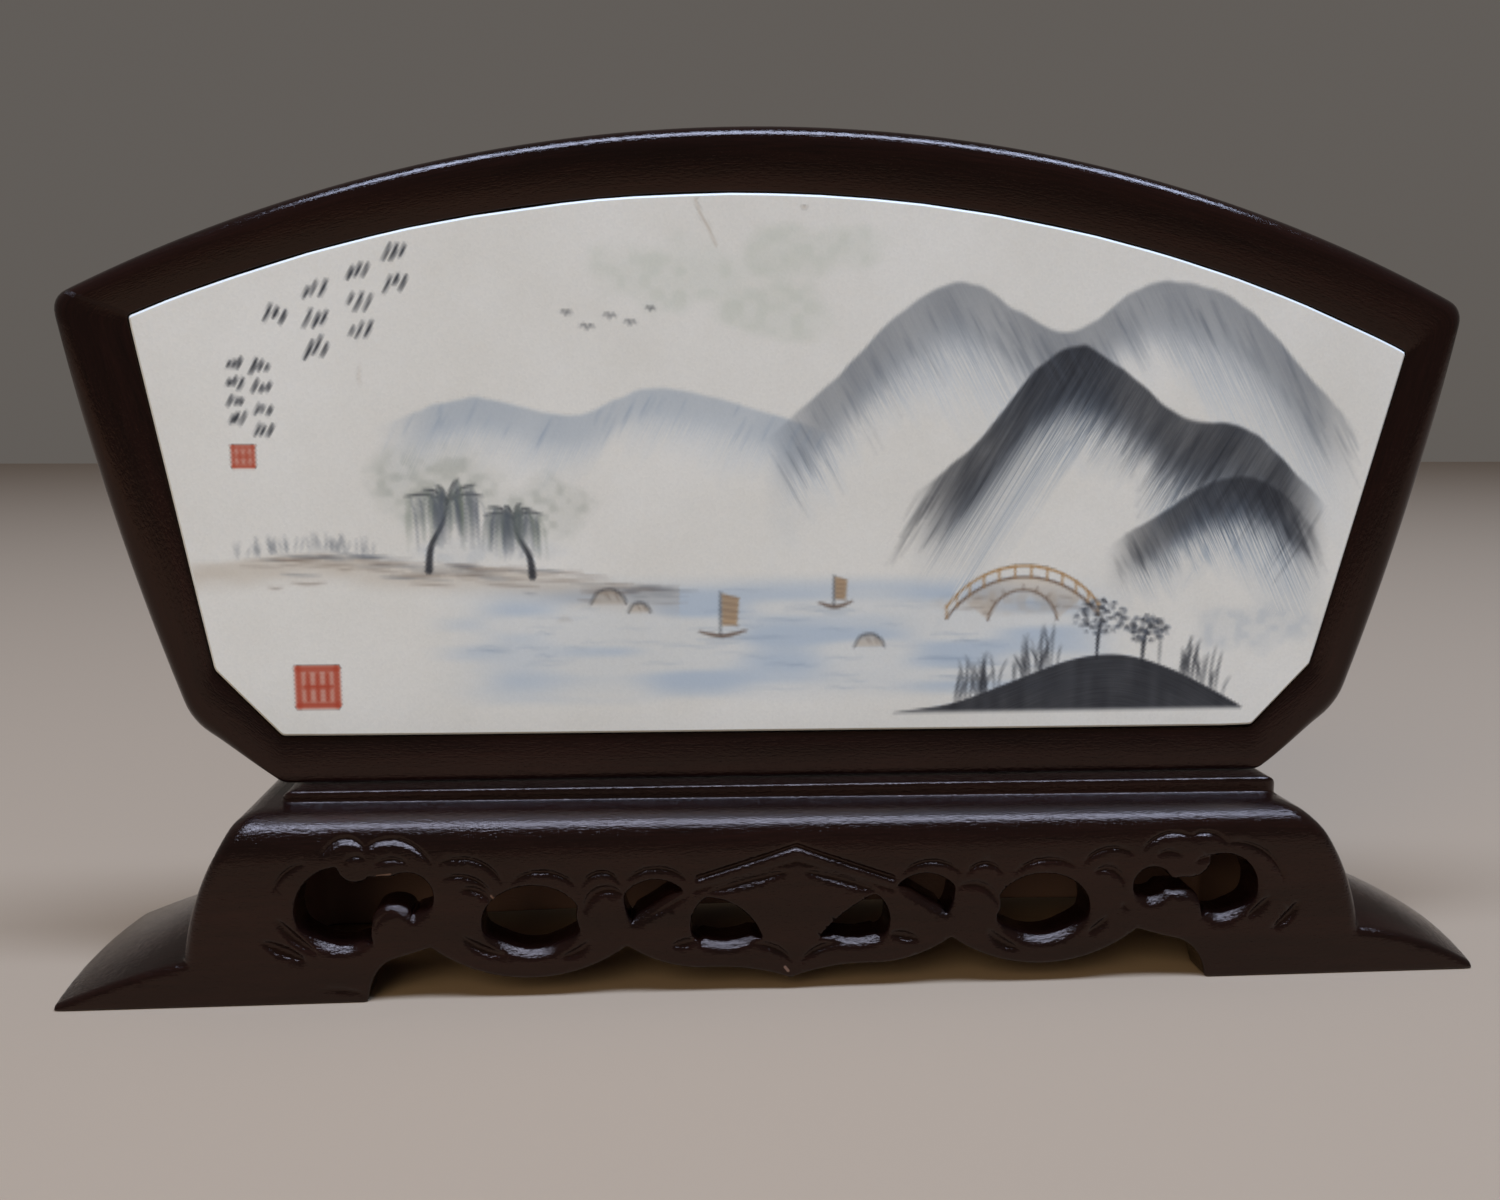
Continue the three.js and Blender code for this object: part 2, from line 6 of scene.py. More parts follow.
import logging
import math
from dataclasses import dataclass, field
from enum import Enum

import bpy
import numpy as np
import openvdb
from mathutils import Matrix
from mathutils.geometry import delaunay_2d_cdt


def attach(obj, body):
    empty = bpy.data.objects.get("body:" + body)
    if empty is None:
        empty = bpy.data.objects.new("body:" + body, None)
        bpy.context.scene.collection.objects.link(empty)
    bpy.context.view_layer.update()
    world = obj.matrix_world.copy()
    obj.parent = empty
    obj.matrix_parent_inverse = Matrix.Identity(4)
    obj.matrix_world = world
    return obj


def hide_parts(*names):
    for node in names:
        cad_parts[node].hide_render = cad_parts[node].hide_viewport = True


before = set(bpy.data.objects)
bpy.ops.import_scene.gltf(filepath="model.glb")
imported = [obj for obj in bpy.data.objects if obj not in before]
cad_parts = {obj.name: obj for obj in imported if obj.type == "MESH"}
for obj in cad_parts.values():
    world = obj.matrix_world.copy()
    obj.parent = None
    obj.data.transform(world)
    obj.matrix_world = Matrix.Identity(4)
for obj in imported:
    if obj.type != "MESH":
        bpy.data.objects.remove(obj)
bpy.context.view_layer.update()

MM = 0.001
EYE_GAMMA = 2.2
LOG = logging.getLogger("table_screen")

Points = list[tuple[float, float]]


# Small tools for numbers and outlines

def linear(hex_value: str) -> tuple[float, float, float, float]:
    """Turns an sRGB hex colour into linear light.

    Args:
        hex_value: Six hex digits with a leading hash.
    Returns:
        Linear red, green, blue and an alpha of one.
    """
    channels = [int(hex_value[i:i + 2], 16) / 255 for i in (1, 3, 5)]
    return (*[c / 12.92 if c <= 0.04045 else ((c + 0.055) / 1.055) ** 2.4 for c in channels], 1.0)


def perceived(hex_value: str) -> np.ndarray:
    """The colour as the eye weighs it, in which layers of paint mix evenly."""
    return np.array(linear(hex_value)[:3]) ** (1 / EYE_GAMMA)


def smooth(value: np.ndarray, low: float, high: float) -> np.ndarray:
    """Rises softly from zero at low to one at high."""
    t = np.clip((value - low) / (high - low), 0.0, 1.0)
    return t * t * (3.0 - 2.0 * t)


def arc_through(a: tuple, b: tuple, c: tuple, steps: int) -> np.ndarray:
    """The arc of a circle from a over b to c.

    Args:
        a: First end.
        b: A point on the way.
        c: Last end.
        steps: Number of stretches.
    Returns:
        Array of steps + 1 points.
    """
    (ax, az), (bx, bz), (cx, cz) = a, b, c
    turn = 2 * (ax * (bz - cz) + bx * (cz - az) + cx * (az - bz))
    aa, bb, cc = ax * ax + az * az, bx * bx + bz * bz, cx * cx + cz * cz
    ox = (aa * (bz - cz) + bb * (cz - az) + cc * (az - bz)) / turn
    oz = (aa * (cx - bx) + bb * (ax - cx) + cc * (bx - ax)) / turn
    radius = math.hypot(ax - ox, az - oz)
    start, end = math.atan2(az - oz, ax - ox), math.atan2(cz - oz, cx - ox)
    sweep = (end - start) % math.tau if turn > 0 else -((start - end) % math.tau)
    angles = start + sweep * np.linspace(0, 1, steps + 1)
    return np.stack([ox + radius * np.cos(angles), oz + radius * np.sin(angles)], 1)


def bezier(a: tuple, b: tuple, c: tuple, steps: int) -> np.ndarray:
    """A quadratic curve from a to c that leans towards b.

    Args:
        a: First end.
        b: Point the curve leans to.
        c: Last end.
        steps: Number of stretches.
    Returns:
        Array of steps + 1 points.
    """
    t = np.linspace(0, 1, steps + 1)[:, None]
    return (1 - t) ** 2 * np.array(a) + 2 * t * (1 - t) * np.array(b) + t * t * np.array(c)


def bowed_side(a: tuple, b: tuple, push: float, steps: int) -> np.ndarray:
    """An arc from a to b whose middle stands out to the right of the way by push.

    Args:
        a: First end.
        b: Last end.
        push: Height of the bow.
        steps: Number of stretches.
    Returns:
        Array of steps + 1 points.
    """
    run, rise = b[0] - a[0], b[1] - a[1]
    length = math.hypot(run, rise)
    middle = ((a[0] + b[0]) / 2 + rise / length * push, (a[1] + b[1]) / 2 - run / length * push)
    return arc_through(a, middle, b, steps)


def smooth_path(points: Points, steps: int) -> np.ndarray:
    """A soft curve through all its points.

    Args:
        points: Points that the curve passes.
        steps: Stretches between two points.
    Returns:
        Array of points along the curve.
    """
    p = np.array([points[0], *points, points[-1]], float)
    t = np.linspace(0, 1, steps, endpoint=False)[:, None]
    runs = []
    for i in range(1, len(p) - 2):
        a, b, c, d = p[i - 1], p[i], p[i + 1], p[i + 2]
        runs.append(0.5 * (2 * b + (c - a) * t + (2 * a - 5 * b + 4 * c - d) * t ** 2
                           + (3 * b - a - 3 * c + d) * t ** 3))
    return np.concatenate([*runs, p[-1:]])


def lengths_along(path: np.ndarray) -> np.ndarray:
    """How far along a path each of its points lies."""
    return np.concatenate([[0], np.cumsum(np.linalg.norm(np.diff(path, axis=0), axis=1))])


def closed(outline: np.ndarray) -> np.ndarray:
    """The outline with its first point once more at the end."""
    return np.concatenate([outline, outline[:1]])


def outline_distance(x: np.ndarray, z: np.ndarray, outline: np.ndarray) -> np.ndarray:
    """Signed distance to a closed outline, negative inside.

    Args:
        x: First coordinate of the places.
        z: Second coordinate, of a shape that goes with x.
        outline: Corners of the outline.
    Returns:
        Distances, in the joint shape of x and z.
    """
    best = np.full(np.broadcast(x, z).shape, 1e9)
    inside = np.zeros(best.shape, bool)
    for (ax, az), (bx, bz) in zip(outline, np.roll(outline, -1, axis=0)):
        ex, ez = bx - ax, bz - az
        length = ex * ex + ez * ez
        if length < 1e-12:
            continue
        t = np.clip(((x - ax) * ex + (z - az) * ez) / length, 0, 1)
        best = np.minimum(best, (x - ax - t * ex) ** 2 + (z - az - t * ez) ** 2)
        if az != bz:
            inside ^= ((az > z) != (bz > z)) & (x < ex * (z - az) / ez + ax)
    return np.where(inside, -1, 1) * np.sqrt(best)


def path_distance(x: np.ndarray, z: np.ndarray, path: np.ndarray) -> tuple[np.ndarray, np.ndarray]:
    """Distance to an open path, and how far along it the nearest point lies.

    Args:
        x: First coordinate of the places.
        z: Second coordinate.
        path: Points of the path.
    Returns:
        Distances, and shares of the path's length from zero to one.
    """
    best = np.full(np.broadcast(x, z).shape, 1e9)
    along = np.zeros(best.shape)
    for i, ((ax, az), (bx, bz)) in enumerate(zip(path[:-1], path[1:])):
        ex, ez = bx - ax, bz - az
        t = np.clip(((x - ax) * ex + (z - az) * ez) / (ex * ex + ez * ez), 0, 1)
        apart = (x - ax - t * ex) ** 2 + (z - az - t * ez) ** 2
        along = np.where(apart < best, (i + t) / (len(path) - 1), along)
        best = np.minimum(best, apart)
    return np.sqrt(best), along


def meet(a: np.ndarray, b: np.ndarray, radius: float | np.ndarray) -> np.ndarray:
    """What two shapes share, with its new edge rounded."""
    corner = np.hypot(np.maximum(a + radius, 0), np.maximum(b + radius, 0))
    return np.minimum(np.maximum(a, b), -radius) + corner


def join(a: np.ndarray, b: np.ndarray, radius: float | np.ndarray) -> np.ndarray:
    """Both shapes together, with a soft hollow where they meet."""
    return -meet(-a, -b, radius)


def disc(x: np.ndarray, z: np.ndarray, at: tuple, half_length: float, half_height: float) -> np.ndarray:
    """Distance to an upright oval.

    Args:
        x: First coordinate of the places.
        z: Second coordinate.
        at: Middle of the oval.
        half_length: Half its length.
        half_height: Half its height.
    Returns:
        Distances, negative inside.
    """
    around = np.linspace(0, math.tau, 48, endpoint=False)
    rim = np.stack([at[0] + half_length * np.cos(around), at[1] + half_height * np.sin(around)], 1)
    return outline_distance(x, z, rim)


# Small tools for meshes and materials

def add_node(tree: bpy.types.NodeTree, kind: str, inputs: dict | None = None,
             **settings: object) -> bpy.types.Node:
    """Adds one node with its settings and its links.

    Args:
        tree: Node tree that takes the node.
        kind: Name of the node type.
        inputs: Input name or number, with a value or with the output socket that feeds it.
        settings: The node's own settings.
    Returns:
        The new node.
    """
    node = tree.nodes.new(kind)
    for name, value in settings.items():
        setattr(node, name, value)
    for name, value in (inputs or {}).items():
        if isinstance(value, bpy.types.NodeSocket):
            tree.links.new(value, node.inputs[name])
        else:
            node.inputs[name].default_value = value
    return node


def add_ramp(tree: bpy.types.NodeTree, factor: bpy.types.NodeSocket,
             stops: list[tuple[float, str]]) -> bpy.types.Node:
    """Adds a colour ramp.

    Args:
        tree: Node tree that takes it.
        factor: Socket that drives it.
        stops: Places from zero to one with their hex colours.
    Returns:
        The ramp node.
    """
    node = add_node(tree, "ShaderNodeValToRGB", {"Fac": factor})
    elements = node.color_ramp.elements
    for index, (place, colour) in enumerate(stops):
        element = elements[index] if index < 2 else elements.new(place)
        element.position = place
        element.color = linear(colour)
    return node


def stretch_distance(tree: bpy.types.NodeTree, place: bpy.types.NodeSocket, start: tuple,
                     end: tuple) -> bpy.types.NodeSocket:
    """Distance to a straight stretch between two places, in metres.

    Args:
        tree: Node tree that takes the nodes.
        place: Socket with the place.
        start: One end in millimetres.
        end: The other end.
    Returns:
        Socket with the distance.
    """
    along = [(b - a) * MM for a, b in zip(start, end)]
    square = sum(c * c for c in along)
    away = add_node(tree, "ShaderNodeVectorMath", {
        0: place, 1: [c * MM for c in start]}, operation="SUBTRACT")
    reach = add_node(tree, "ShaderNodeVectorMath", {
        0: away.outputs["Vector"], 1: [c / square for c in along]}, operation="DOT_PRODUCT")
    share = add_node(tree, "ShaderNodeClamp", {"Value": reach.outputs["Value"]})
    foot = add_node(tree, "ShaderNodeVectorMath", {
        0: along, "Scale": share.outputs["Result"]}, operation="SCALE")
    return add_node(tree, "ShaderNodeVectorMath", {
        0: away.outputs["Vector"], 1: foot.outputs["Vector"]}, operation="DISTANCE").outputs["Value"]


def new_material(name: str) -> tuple[bpy.types.Material, bpy.types.NodeTree]:
    """Makes a material without nodes.

    Args:
        name: Its name.
    Returns:
        The material and its empty node tree.
    """
    material = bpy.data.materials.new(name)
    material.use_nodes = True
    material.node_tree.nodes.clear()
    return material, material.node_tree


def new_piece(name: str, points: np.ndarray, faces: list, finish: bpy.types.Material,
              node: str) -> bpy.types.Object:
    """Makes a mesh piece that stands for a CAD node.

    Args:
        name: Name of the piece.
        points: Places in millimetres.
        faces: Corner numbers of each face.
        finish: Material of the piece.
        node: CAD node that the piece replaces.
    Returns:
        The new object.
    """
    mesh = bpy.data.meshes.new(name)
    mesh.from_pydata((points * MM).tolist(), [], faces)
    mesh.materials.append(finish)
    piece = bpy.data.objects.new(name, mesh)
    bpy.context.scene.collection.objects.link(piece)
    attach(piece, "root")
    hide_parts(node)
    LOG.info("%s: %d points, %d faces", name, len(mesh.vertices), len(mesh.polygons))
    return piece


class Layer(Enum):
    """Kinds of values that a mesh can hold for its points, with the field that takes them."""

    FLOAT = "value"
    FLOAT_VECTOR = "vector"
    FLOAT_COLOR = "color"


def store(mesh: bpy.types.Mesh, name: str, kind: Layer, values: np.ndarray) -> None:
    """Stores one value for each point of a mesh, for its material to read."""
    layer = mesh.attributes.new(name, kind.name, "POINT")
    layer.data.foreach_set(kind.value, values.astype(np.float32).ravel())


class Grid:
    """A block of evenly spaced places in which a shape is given by its distances."""

    def __init__(self, low: tuple, high: tuple, step: float) -> None:
        """Lays out the places.

        Args:
            low: Lowest corner.
            high: Highest corner.
            step: Spacing.
        """
        x, y, z = (np.arange(a, b + step, step, dtype=np.float32) for a, b in zip(low, high))
        self.low = np.array(low)
        self.step = step
        self.x, self.y, self.z = x[:, None, None], y[None, :, None], z[None, None, :]

    def sample(self, values: np.ndarray, points: np.ndarray) -> np.ndarray:
        """Reads values between the places.

        Args:
            values: One value for each place of the grid.
            points: Where to read.
        Returns:
            One value for each point.
        """
        place = (points - self.low) / self.step
        base = np.clip(place.astype(int), 0, np.array(values.shape) - 2)
        part = place - base
        total = np.zeros(len(points))
        for corner in np.ndindex(2, 2, 2):
            weight = np.prod(np.where(corner, part, 1 - part), axis=1)
            i, j, k = (base + corner).T
            total += weight * values[i, j, k]
        return total

    def slope(self, values: np.ndarray, points: np.ndarray) -> np.ndarray:
        """The direction in which values rise.

        Args:
            values: One value for each place of the grid.
            points: Where to look.
        Returns:
            One unit vector for each point.
        """
        rise = np.stack([self.sample(values, points + shift) - self.sample(values, points - shift)
                         for shift in np.eye(3) * self.step], 1)
        return rise / np.maximum(np.linalg.norm(rise, axis=1, keepdims=True), 1e-9)

    def skin(self, values: np.ndarray, adaptivity: float) -> tuple[np.ndarray, list, np.ndarray]:
        """The surface on which the values are zero.

        Args:
            values: Distances, negative inside.
            adaptivity: How far flat stretches may share large faces, from zero to one.
        Returns:
            Points, faces and the points' normals.
        """
        volume = openvdb.FloatGrid(1.0)
        volume.copyFromArray(values)
        points, triangles, quads = volume.convertToPolygons(0.0, adaptivity)
        points = self.low + points * self.step
        for _ in range(2):
            points = points - self.sample(values, points)[:, None] * self.slope(values, points)
        faces = [*triangles.tolist(), *quads.tolist()]
        a, b, c = (points[triangles[:, i]] if len(triangles) else points[quads[:, i]] for i in range(3))
        outward = np.einsum("ij,ij->i", np.cross(b - a, c - a), self.slope(values, (a + b + c) / 3)).sum()
        if outward < 0:
            faces = [face[::-1] for face in faces]
        return points, faces, self.slope(values, points)


# Finishes

@dataclass(frozen=True)
class Lacquer:
    """Brushed lacquer on carved hardwood: a dark glossy skin whose brush marks break up the highlights."""

    name: str
    deep: str = "#0c0504"
    worn: str = "#1f0e0a"
    bare: str = "#86695a"
    sheen: str = "#eed0be"
    streak_width: float = 0.3
    streak_length: float = 9.0
    roughness: float = 0.035
    valley_roughness: float = 0.16
    glint_length: float = 1.5
    glint_width: float = 0.5
    thread_height: float = 0.12
    brush_height: float = 0.02
    cloud_length: float = 83.333
    cloud_width: float = 6.25
    ior: float = 1.5
    marks: tuple = ()

    def build(self) -> bpy.types.Material:
        """Makes the material.

        Returns:
            The material, which reads the brush direction from the mesh.
        """
        material, tree = new_material(self.name)
        fine = self.stretched_noise(tree, self.streak_length, self.streak_width, 5.0, 0.6)
        clouds = self.stretched_noise(tree, self.cloud_length, self.cloud_width, 3.0, 0.55)
        mixed = add_node(tree, "ShaderNodeMath", {
            0: fine.outputs["Fac"], 1: clouds.outputs["Fac"]}, operation="MULTIPLY")
        tone = add_ramp(tree, mixed.outputs[0], [(0.12, self.deep), (0.42, self.worn)])
        # Inside the stand the wood was left without lacquer, so it is browner and dull there
        unlacquered = add_node(tree, "ShaderNodeAttribute", attribute_name="bare")
        # A few chips and scratches show the wood under the lacquer
        place = add_node(tree, "ShaderNodeTexCoord").outputs["Object"]
        worn_off = unlacquered.outputs["Fac"]
        for start, end, radius, strength in self.marks:
            apart = stretch_distance(tree, place, start, end)
            struck = add_node(tree, "ShaderNodeMapRange", {
                "Value": apart, "From Min": radius * MM, "From Max": radius * 0.5 * MM, "To Max": strength})
            worn_off = add_node(tree, "ShaderNodeMath", {
                0: worn_off, 1: struck.outputs["Result"]}, operation="MAXIMUM").outputs[0]
        colour = add_node(tree, "ShaderNodeMix", {
            "Factor": worn_off, "A": tone.outputs["Color"], "B": linear(self.bare)},
            data_type="RGBA")
        # Short brushed threads are rough in their valleys, so a highlight breaks into glints along the brush
        threads = self.stretched_noise(tree, self.glint_length, self.glint_width, 3.0, 0.6)
        gloss = add_node(tree, "ShaderNodeMapRange", {
            "Value": threads.outputs["Fac"], "From Min": 0.46, "From Max": 0.62,
            "To Min": self.roughness, "To Max": self.valley_roughness})
        dull = add_node(tree, "ShaderNodeMath", {
            0: gloss.outputs["Result"], 1: worn_off}, operation="ADD", use_clamp=True)
        waves = add_node(tree, "ShaderNodeBump", {
            "Height": fine.outputs["Fac"], "Strength": 1.0, "Distance": self.brush_height * MM})
        # The threads stand up a little from the skin, which makes the highlights glitter
        bump = add_node(tree, "ShaderNodeBump", {
            "Height": threads.outputs["Fac"], "Strength": 1.0, "Distance": self.thread_height * MM,
            "Normal": waves.outputs["Normal"]})
        skin = add_node(tree, "ShaderNodeBsdfPrincipled", {
            "Base Color": colour.outputs[2], "Roughness": dull.outputs[0],
            "Normal": bump.outputs["Normal"], "IOR": self.ior, "Specular Tint": linear(self.sheen)})
        add_node(tree, "ShaderNodeOutputMaterial", {"Surface": skin.outputs["BSDF"]})
        return material

    @staticmethod
    def stretched_noise(tree: bpy.types.NodeTree, length: float, width: float, detail: float,
                        roughness: float) -> bpy.types.Node:
        """Noise drawn out along the brush.

        Args:
            tree: Node tree that takes the nodes.
            length: Length of one mark in millimetres.
            width: Its width.
            detail: Number of finer layers.
            roughness: Weight of the finer layers.
        Returns:
            The noise node.
        """
        brush = add_node(tree, "ShaderNodeAttribute", attribute_name="brush")
        place = add_node(tree, "ShaderNodeMapping", {
            "Vector": brush.outputs["Vector"], "Scale": (1 / length, 1 / width, 1 / width)})
        return add_node(tree, "ShaderNodeTexNoise", {
            "Vector": place.outputs["Vector"], "Scale": 1.0, "Detail": detail, "Roughness": roughness})


@dataclass(frozen=True)
class PaintedMarble:
    """Honed white marble under ink and thin colour: sugary grain that glows a little, paint soaked in."""

    name: str = "honed_white_marble_with_ink"
    body: str = "#ebe8de"
    cloud: str = "#e2ded2"
    grain_size: float = 0.55
    cloud_size: float = 45.0
    hair_scale: tuple[float, float, float] = (0.09, 2.1, 1.0)
    roughness: float = 0.38
    crystal_height: float = 0.02
    ior: float = 1.5
    glow: float = 0.12
    glow_depth: float = 1.2
    glow_colour: tuple[float, float, float] = (1.0, 0.9, 0.75)

    def build(self) -> bpy.types.Material:
        """Makes the material.

        Returns:
            The material, which reads paint and brush direction from the mesh.
        """
        material, tree = new_material(self.name)
        place = add_node(tree, "ShaderNodeTexCoord").outputs["Object"]
        grain = add_node(tree, "ShaderNodeTexVoronoi", {"Vector": place, "Scale": 1 / (self.grain_size * MM)})
        clouds = add_node(tree, "ShaderNodeTexNoise", {
            "Vector": place, "Scale": 1 / (self.cloud_size * MM), "Detail": 4.0, "Roughness": 0.6})
        stone = add_ramp(tree, clouds.outputs["Fac"], [(0.35, self.body), (0.75, self.cloud)])
        sugar = add_node(tree, "ShaderNodeMapRange", {
            "Value": grain.outputs["Color"], "To Min": 0.965, "To Max": 1.02})
        bright = add_node(tree, "ShaderNodeVectorMath", {
            0: stone.outputs["Color"], 1: sugar.outputs["Result"]}, operation="MULTIPLY")
        paint = add_node(tree, "ShaderNodeAttribute", attribute_name="paint")
        brush = add_node(tree, "ShaderNodeAttribute", attribute_name="brush")
        hairs = add_node(tree, "ShaderNodeMapping", {
            "Vector": brush.outputs["Vector"], "Scale": self.hair_scale})
        hair_marks = add_node(tree, "ShaderNodeTexNoise", {
            "Vector": hairs.outputs["Vector"], "Scale": 1.0, "Detail": 4.0, "Roughness": 0.65})
        hair_edges = add_node(tree, "ShaderNodeMapRange", {
            "Value": hair_marks.outputs["Fac"], "From Min": 0.36, "From Max": 0.62})
        dry = add_node(tree, "ShaderNodeAttribute", attribute_name="dry")
        cover = add_node(tree, "ShaderNodeMath", {
            0: hair_edges.outputs["Result"], 1: dry.outputs["Fac"]}, operation="MULTIPLY")
        kept = add_node(tree, "ShaderNodeMath", {0: 1.0, 1: cover.outputs[0]}, operation="SUBTRACT")
        amount = add_node(tree, "ShaderNodeMath", {
            0: kept.outputs[0], 1: paint.outputs["Alpha"]}, operation="MULTIPLY")
        stone_seen = add_node(tree, "ShaderNodeGamma", {
            "Color": bright.outputs["Vector"], "Gamma": 1 / EYE_GAMMA})
        layered = add_node(tree, "ShaderNodeMix", {
            "Factor": amount.outputs[0], "A": stone_seen.outputs["Color"], "B": paint.outputs["Color"]},
            data_type="RGBA")
        colour = add_node(tree, "ShaderNodeGamma", {"Color": layered.outputs[2], "Gamma": EYE_GAMMA})
        # Crystal faces differ a little in height, which gives the surface its faint sparkle
        bump = add_node(tree, "ShaderNodeBump", {
            "Height": grain.outputs["Distance"], "Strength": 0.35, "Distance": self.crystal_height * MM})
        skin = add_node(tree, "ShaderNodeBsdfPrincipled", {
            "Base Color": colour.outputs["Color"], "Roughness": self.roughness,
            "Normal": bump.outputs["Normal"], "IOR": self.ior, "Subsurface Weight": self.glow,
            "Subsurface Scale": self.glow_depth * MM, "Subsurface Radius": self.glow_colour})
        add_node(tree, "ShaderNodeOutputMaterial", {"Surface": skin.outputs["BSDF"]})
        return material


@dataclass(frozen=True)
class MattePaper:
    """The pale studio sweep that the screen stands on."""

    name: str = "matte_paper_sweep"
    colour: str = "#a68c70"
    roughness: float = 0.8
    fibre_size: float = 1.1111
    fibre_height: float = 0.05

    def build(self) -> bpy.types.Material:
        """Makes the material.

        Returns:
            The material.
        """
        material, tree = new_material(self.name)
        place = add_node(tree, "ShaderNodeTexCoord").outputs["Object"]
        fibre = add_node(tree, "ShaderNodeTexNoise", {
            "Vector": place, "Scale": 1 / (self.fibre_size * MM), "Detail": 3.0})
        bump = add_node(tree, "ShaderNodeBump", {
            "Height": fibre.outputs["Fac"], "Strength": 0.08, "Distance": self.fibre_height * MM})
        skin = add_node(tree, "ShaderNodeBsdfPrincipled", {
            "Base Color": linear(self.colour), "Roughness": self.roughness, "Normal": bump.outputs["Normal"]})
        add_node(tree, "ShaderNodeOutputMaterial", {"Surface": skin.outputs["BSDF"]})
        return material


# The stand

class Side(Enum):
    """The two ends of the screen, as the viewer sees them."""

    LEFT = -1
    RIGHT = 1


@dataclass(frozen=True)
class Kidney:
    """A piercing of two round lobes and a waist, with round knobs of wood left standing into it."""

    ball: tuple[float, float, float]
    lobe: tuple[float, float, float]
    waist: tuple[float, float, float, float]
    knobs: tuple[tuple[float, float, float], ...]
    lobe_blend: float = 1.0
    waist_blend: float = 0.6
    knob_edge: float = 0.4

    def distance(self, x: np.ndarray, z: np.ndarray) -> np.ndarray:
        """Signed distance to the opening.

        Args:
            x: Places along the stand.
            z: Heights.
        Returns:
            Distances, negative in the open part.
        """
        bx, bz, br = self.ball
        lx, lz, lr = self.lobe
        wx, wz, wl, wh = self.waist
        opening = join(np.hypot(x - bx, z - bz) - br, np.hypot(x - lx, z - lz) - lr, self.lobe_blend)
        opening = join(opening, disc(x, z, (wx, wz), wl, wh), self.waist_blend)
        for kx, kz, kr in self.knobs:
            opening = meet(opening, kr - np.hypot(x - kx, z - kz), self.knob_edge)
        return opening


@dataclass(frozen=True)
class Hollow:
    """A shallow scoop of a gouge: a lens with one deep middle that dies out at both ends."""

    path: tuple
    width: float
    depth: float

    def depth_at(self, x: np.ndarray, z: np.ndarray) -> np.ndarray:
        """How deep it is at places of the apron's face.

        Args:
            x: Places along the stand.
            z: Heights.
        Returns:
            Depths, zero outside it.
        """
        apart, along = path_distance(x, z, arc_through(*self.path, 10))
        swell = np.sqrt(np.sin(math.pi * np.clip(along, 0.0, 1.0))) + 0.02
        return self.depth * swell * np.clip(1 - (2 * apart / (self.width * swell)) ** 2, 0, None)


APRON_HOLLOWS = (
    Hollow(((-96.6, 31.8), (-94.5, 33.0), (-92.2, 32.2)), 1.3, 0.6),
    Hollow(((-90.4, 31.2), (-86.9, 32.2), (-83.0, 31.0)), 1.5, 0.7),
    Hollow(((-115.1, 14.5), (-110.4, 12.1), (-105.6, 9.9)), 3.0, 1.0),
    Hollow(((-111.6, 19.6), (-107.9, 15.0), (-103.0, 11.4)), 2.6, 0.9),
    Hollow(((-90.6, 16.2), (-88.6, 19.6), (-85.2, 19.6)), 1.5, 0.7),
    Hollow(((-72.4, 25.0), (-68.4, 24.6), (-65.2, 21.0)), 2.2, 0.8),
    Hollow(((-104.0, 2.6), (-98.7, 3.0), (-92.9, 1.6)), 1.6, 0.4),
    Hollow(((-72.3, 14.6), (-68.3, 11.6), (-62.3, 9.8)), 2.6, 0.9),
    Hollow(((-50.8, 9.2), (-46.8, 10.4), (-44.2, 13.0)), 2.4, 0.8),
    Hollow(((-45.2, 18.8), (-43.4, 23.2), (-37.0, 22.9)), 2.8, 0.9),
    Hollow(((-26.6, 11.0), (-23.8, 11.4), (-20.6, 12.4)), 2.8, 0.9),
    Hollow(((-9.4, 10.6), (-3.4, 9.8), (0.4, 6.4)), 2.0, 0.7),
    Hollow(((13.0, 10.4), (6.6, 9.6), (2.0, 6.4)), 2.0, 0.7),
    Hollow(((22.0, 12.4), (25.6, 11.8), (29.0, 10.8)), 2.8, 0.9),
    Hollow(((47.1, 17.3), (44.8, 22.0), (37.0, 22.5)), 2.4, 0.7),
    Hollow(((44.4, 13.0), (47.6, 9.8), (51.9, 8.1)), 2.6, 0.9),
    Hollow(((67.4, 11.4), (70.2, 13.0), (72.2, 15.4)), 2.4, 0.7),
    Hollow(((68.4, 25.4), (72.2, 26.2), (75.4, 22.8)), 2.2, 0.8),
    Hollow(((75.0, 18.2), (75.8, 17.5), (76.7, 16.6)), 1.4, 0.5),
    Hollow(((82.6, 29.0), (85.2, 30.0), (88.8, 28.8)), 1.4, 0.6),
    Hollow(((91.6, 27.2), (95.2, 28.4), (99.6, 26.0)), 1.6, 0.7),
    Hollow(((104.4, 14.0), (107.3, 16.2), (109.8, 19.0)), 2.4, 0.8),
    Hollow(((110.8, 11.4), (114.2, 14.0), (116.4, 17.6)), 2.6, 1.0),
    Hollow(((-18.6, 22.9), (-9.6, 25.3), (-0.4, 27.5)), 2.7, 1.0),
    Hollow(((2.6, 27.4), (11.2, 25.2), (20.0, 22.0)), 2.7, 1.0),
    Hollow(((-34.6, 15.8), (-28.6, 19.2), (-21.8, 23.2)), 1.5, 0.6),
    Hollow(((37.2, 16.4), (30.2, 19.5), (23.6, 23.0)), 1.4, 0.5),
)


STAND_MARKS = (
    ((-1.3, -28.0, 5.4), (-0.6, -28.0, 4.5), 0.4, 0.8),
    ((-65.6, -27.6, 23.4), (-65.2, -27.6, 23.0), 0.4, 0.7),
    ((-89.9, -28.0, 28.7), (-87.0, -28.0, 29.0), 0.25, 0.6),
)
FRAME_MARKS = (
    ((139.9, -7.9, 123.0), (134.9, -7.9, 100.6), 0.25, 0.3),
)


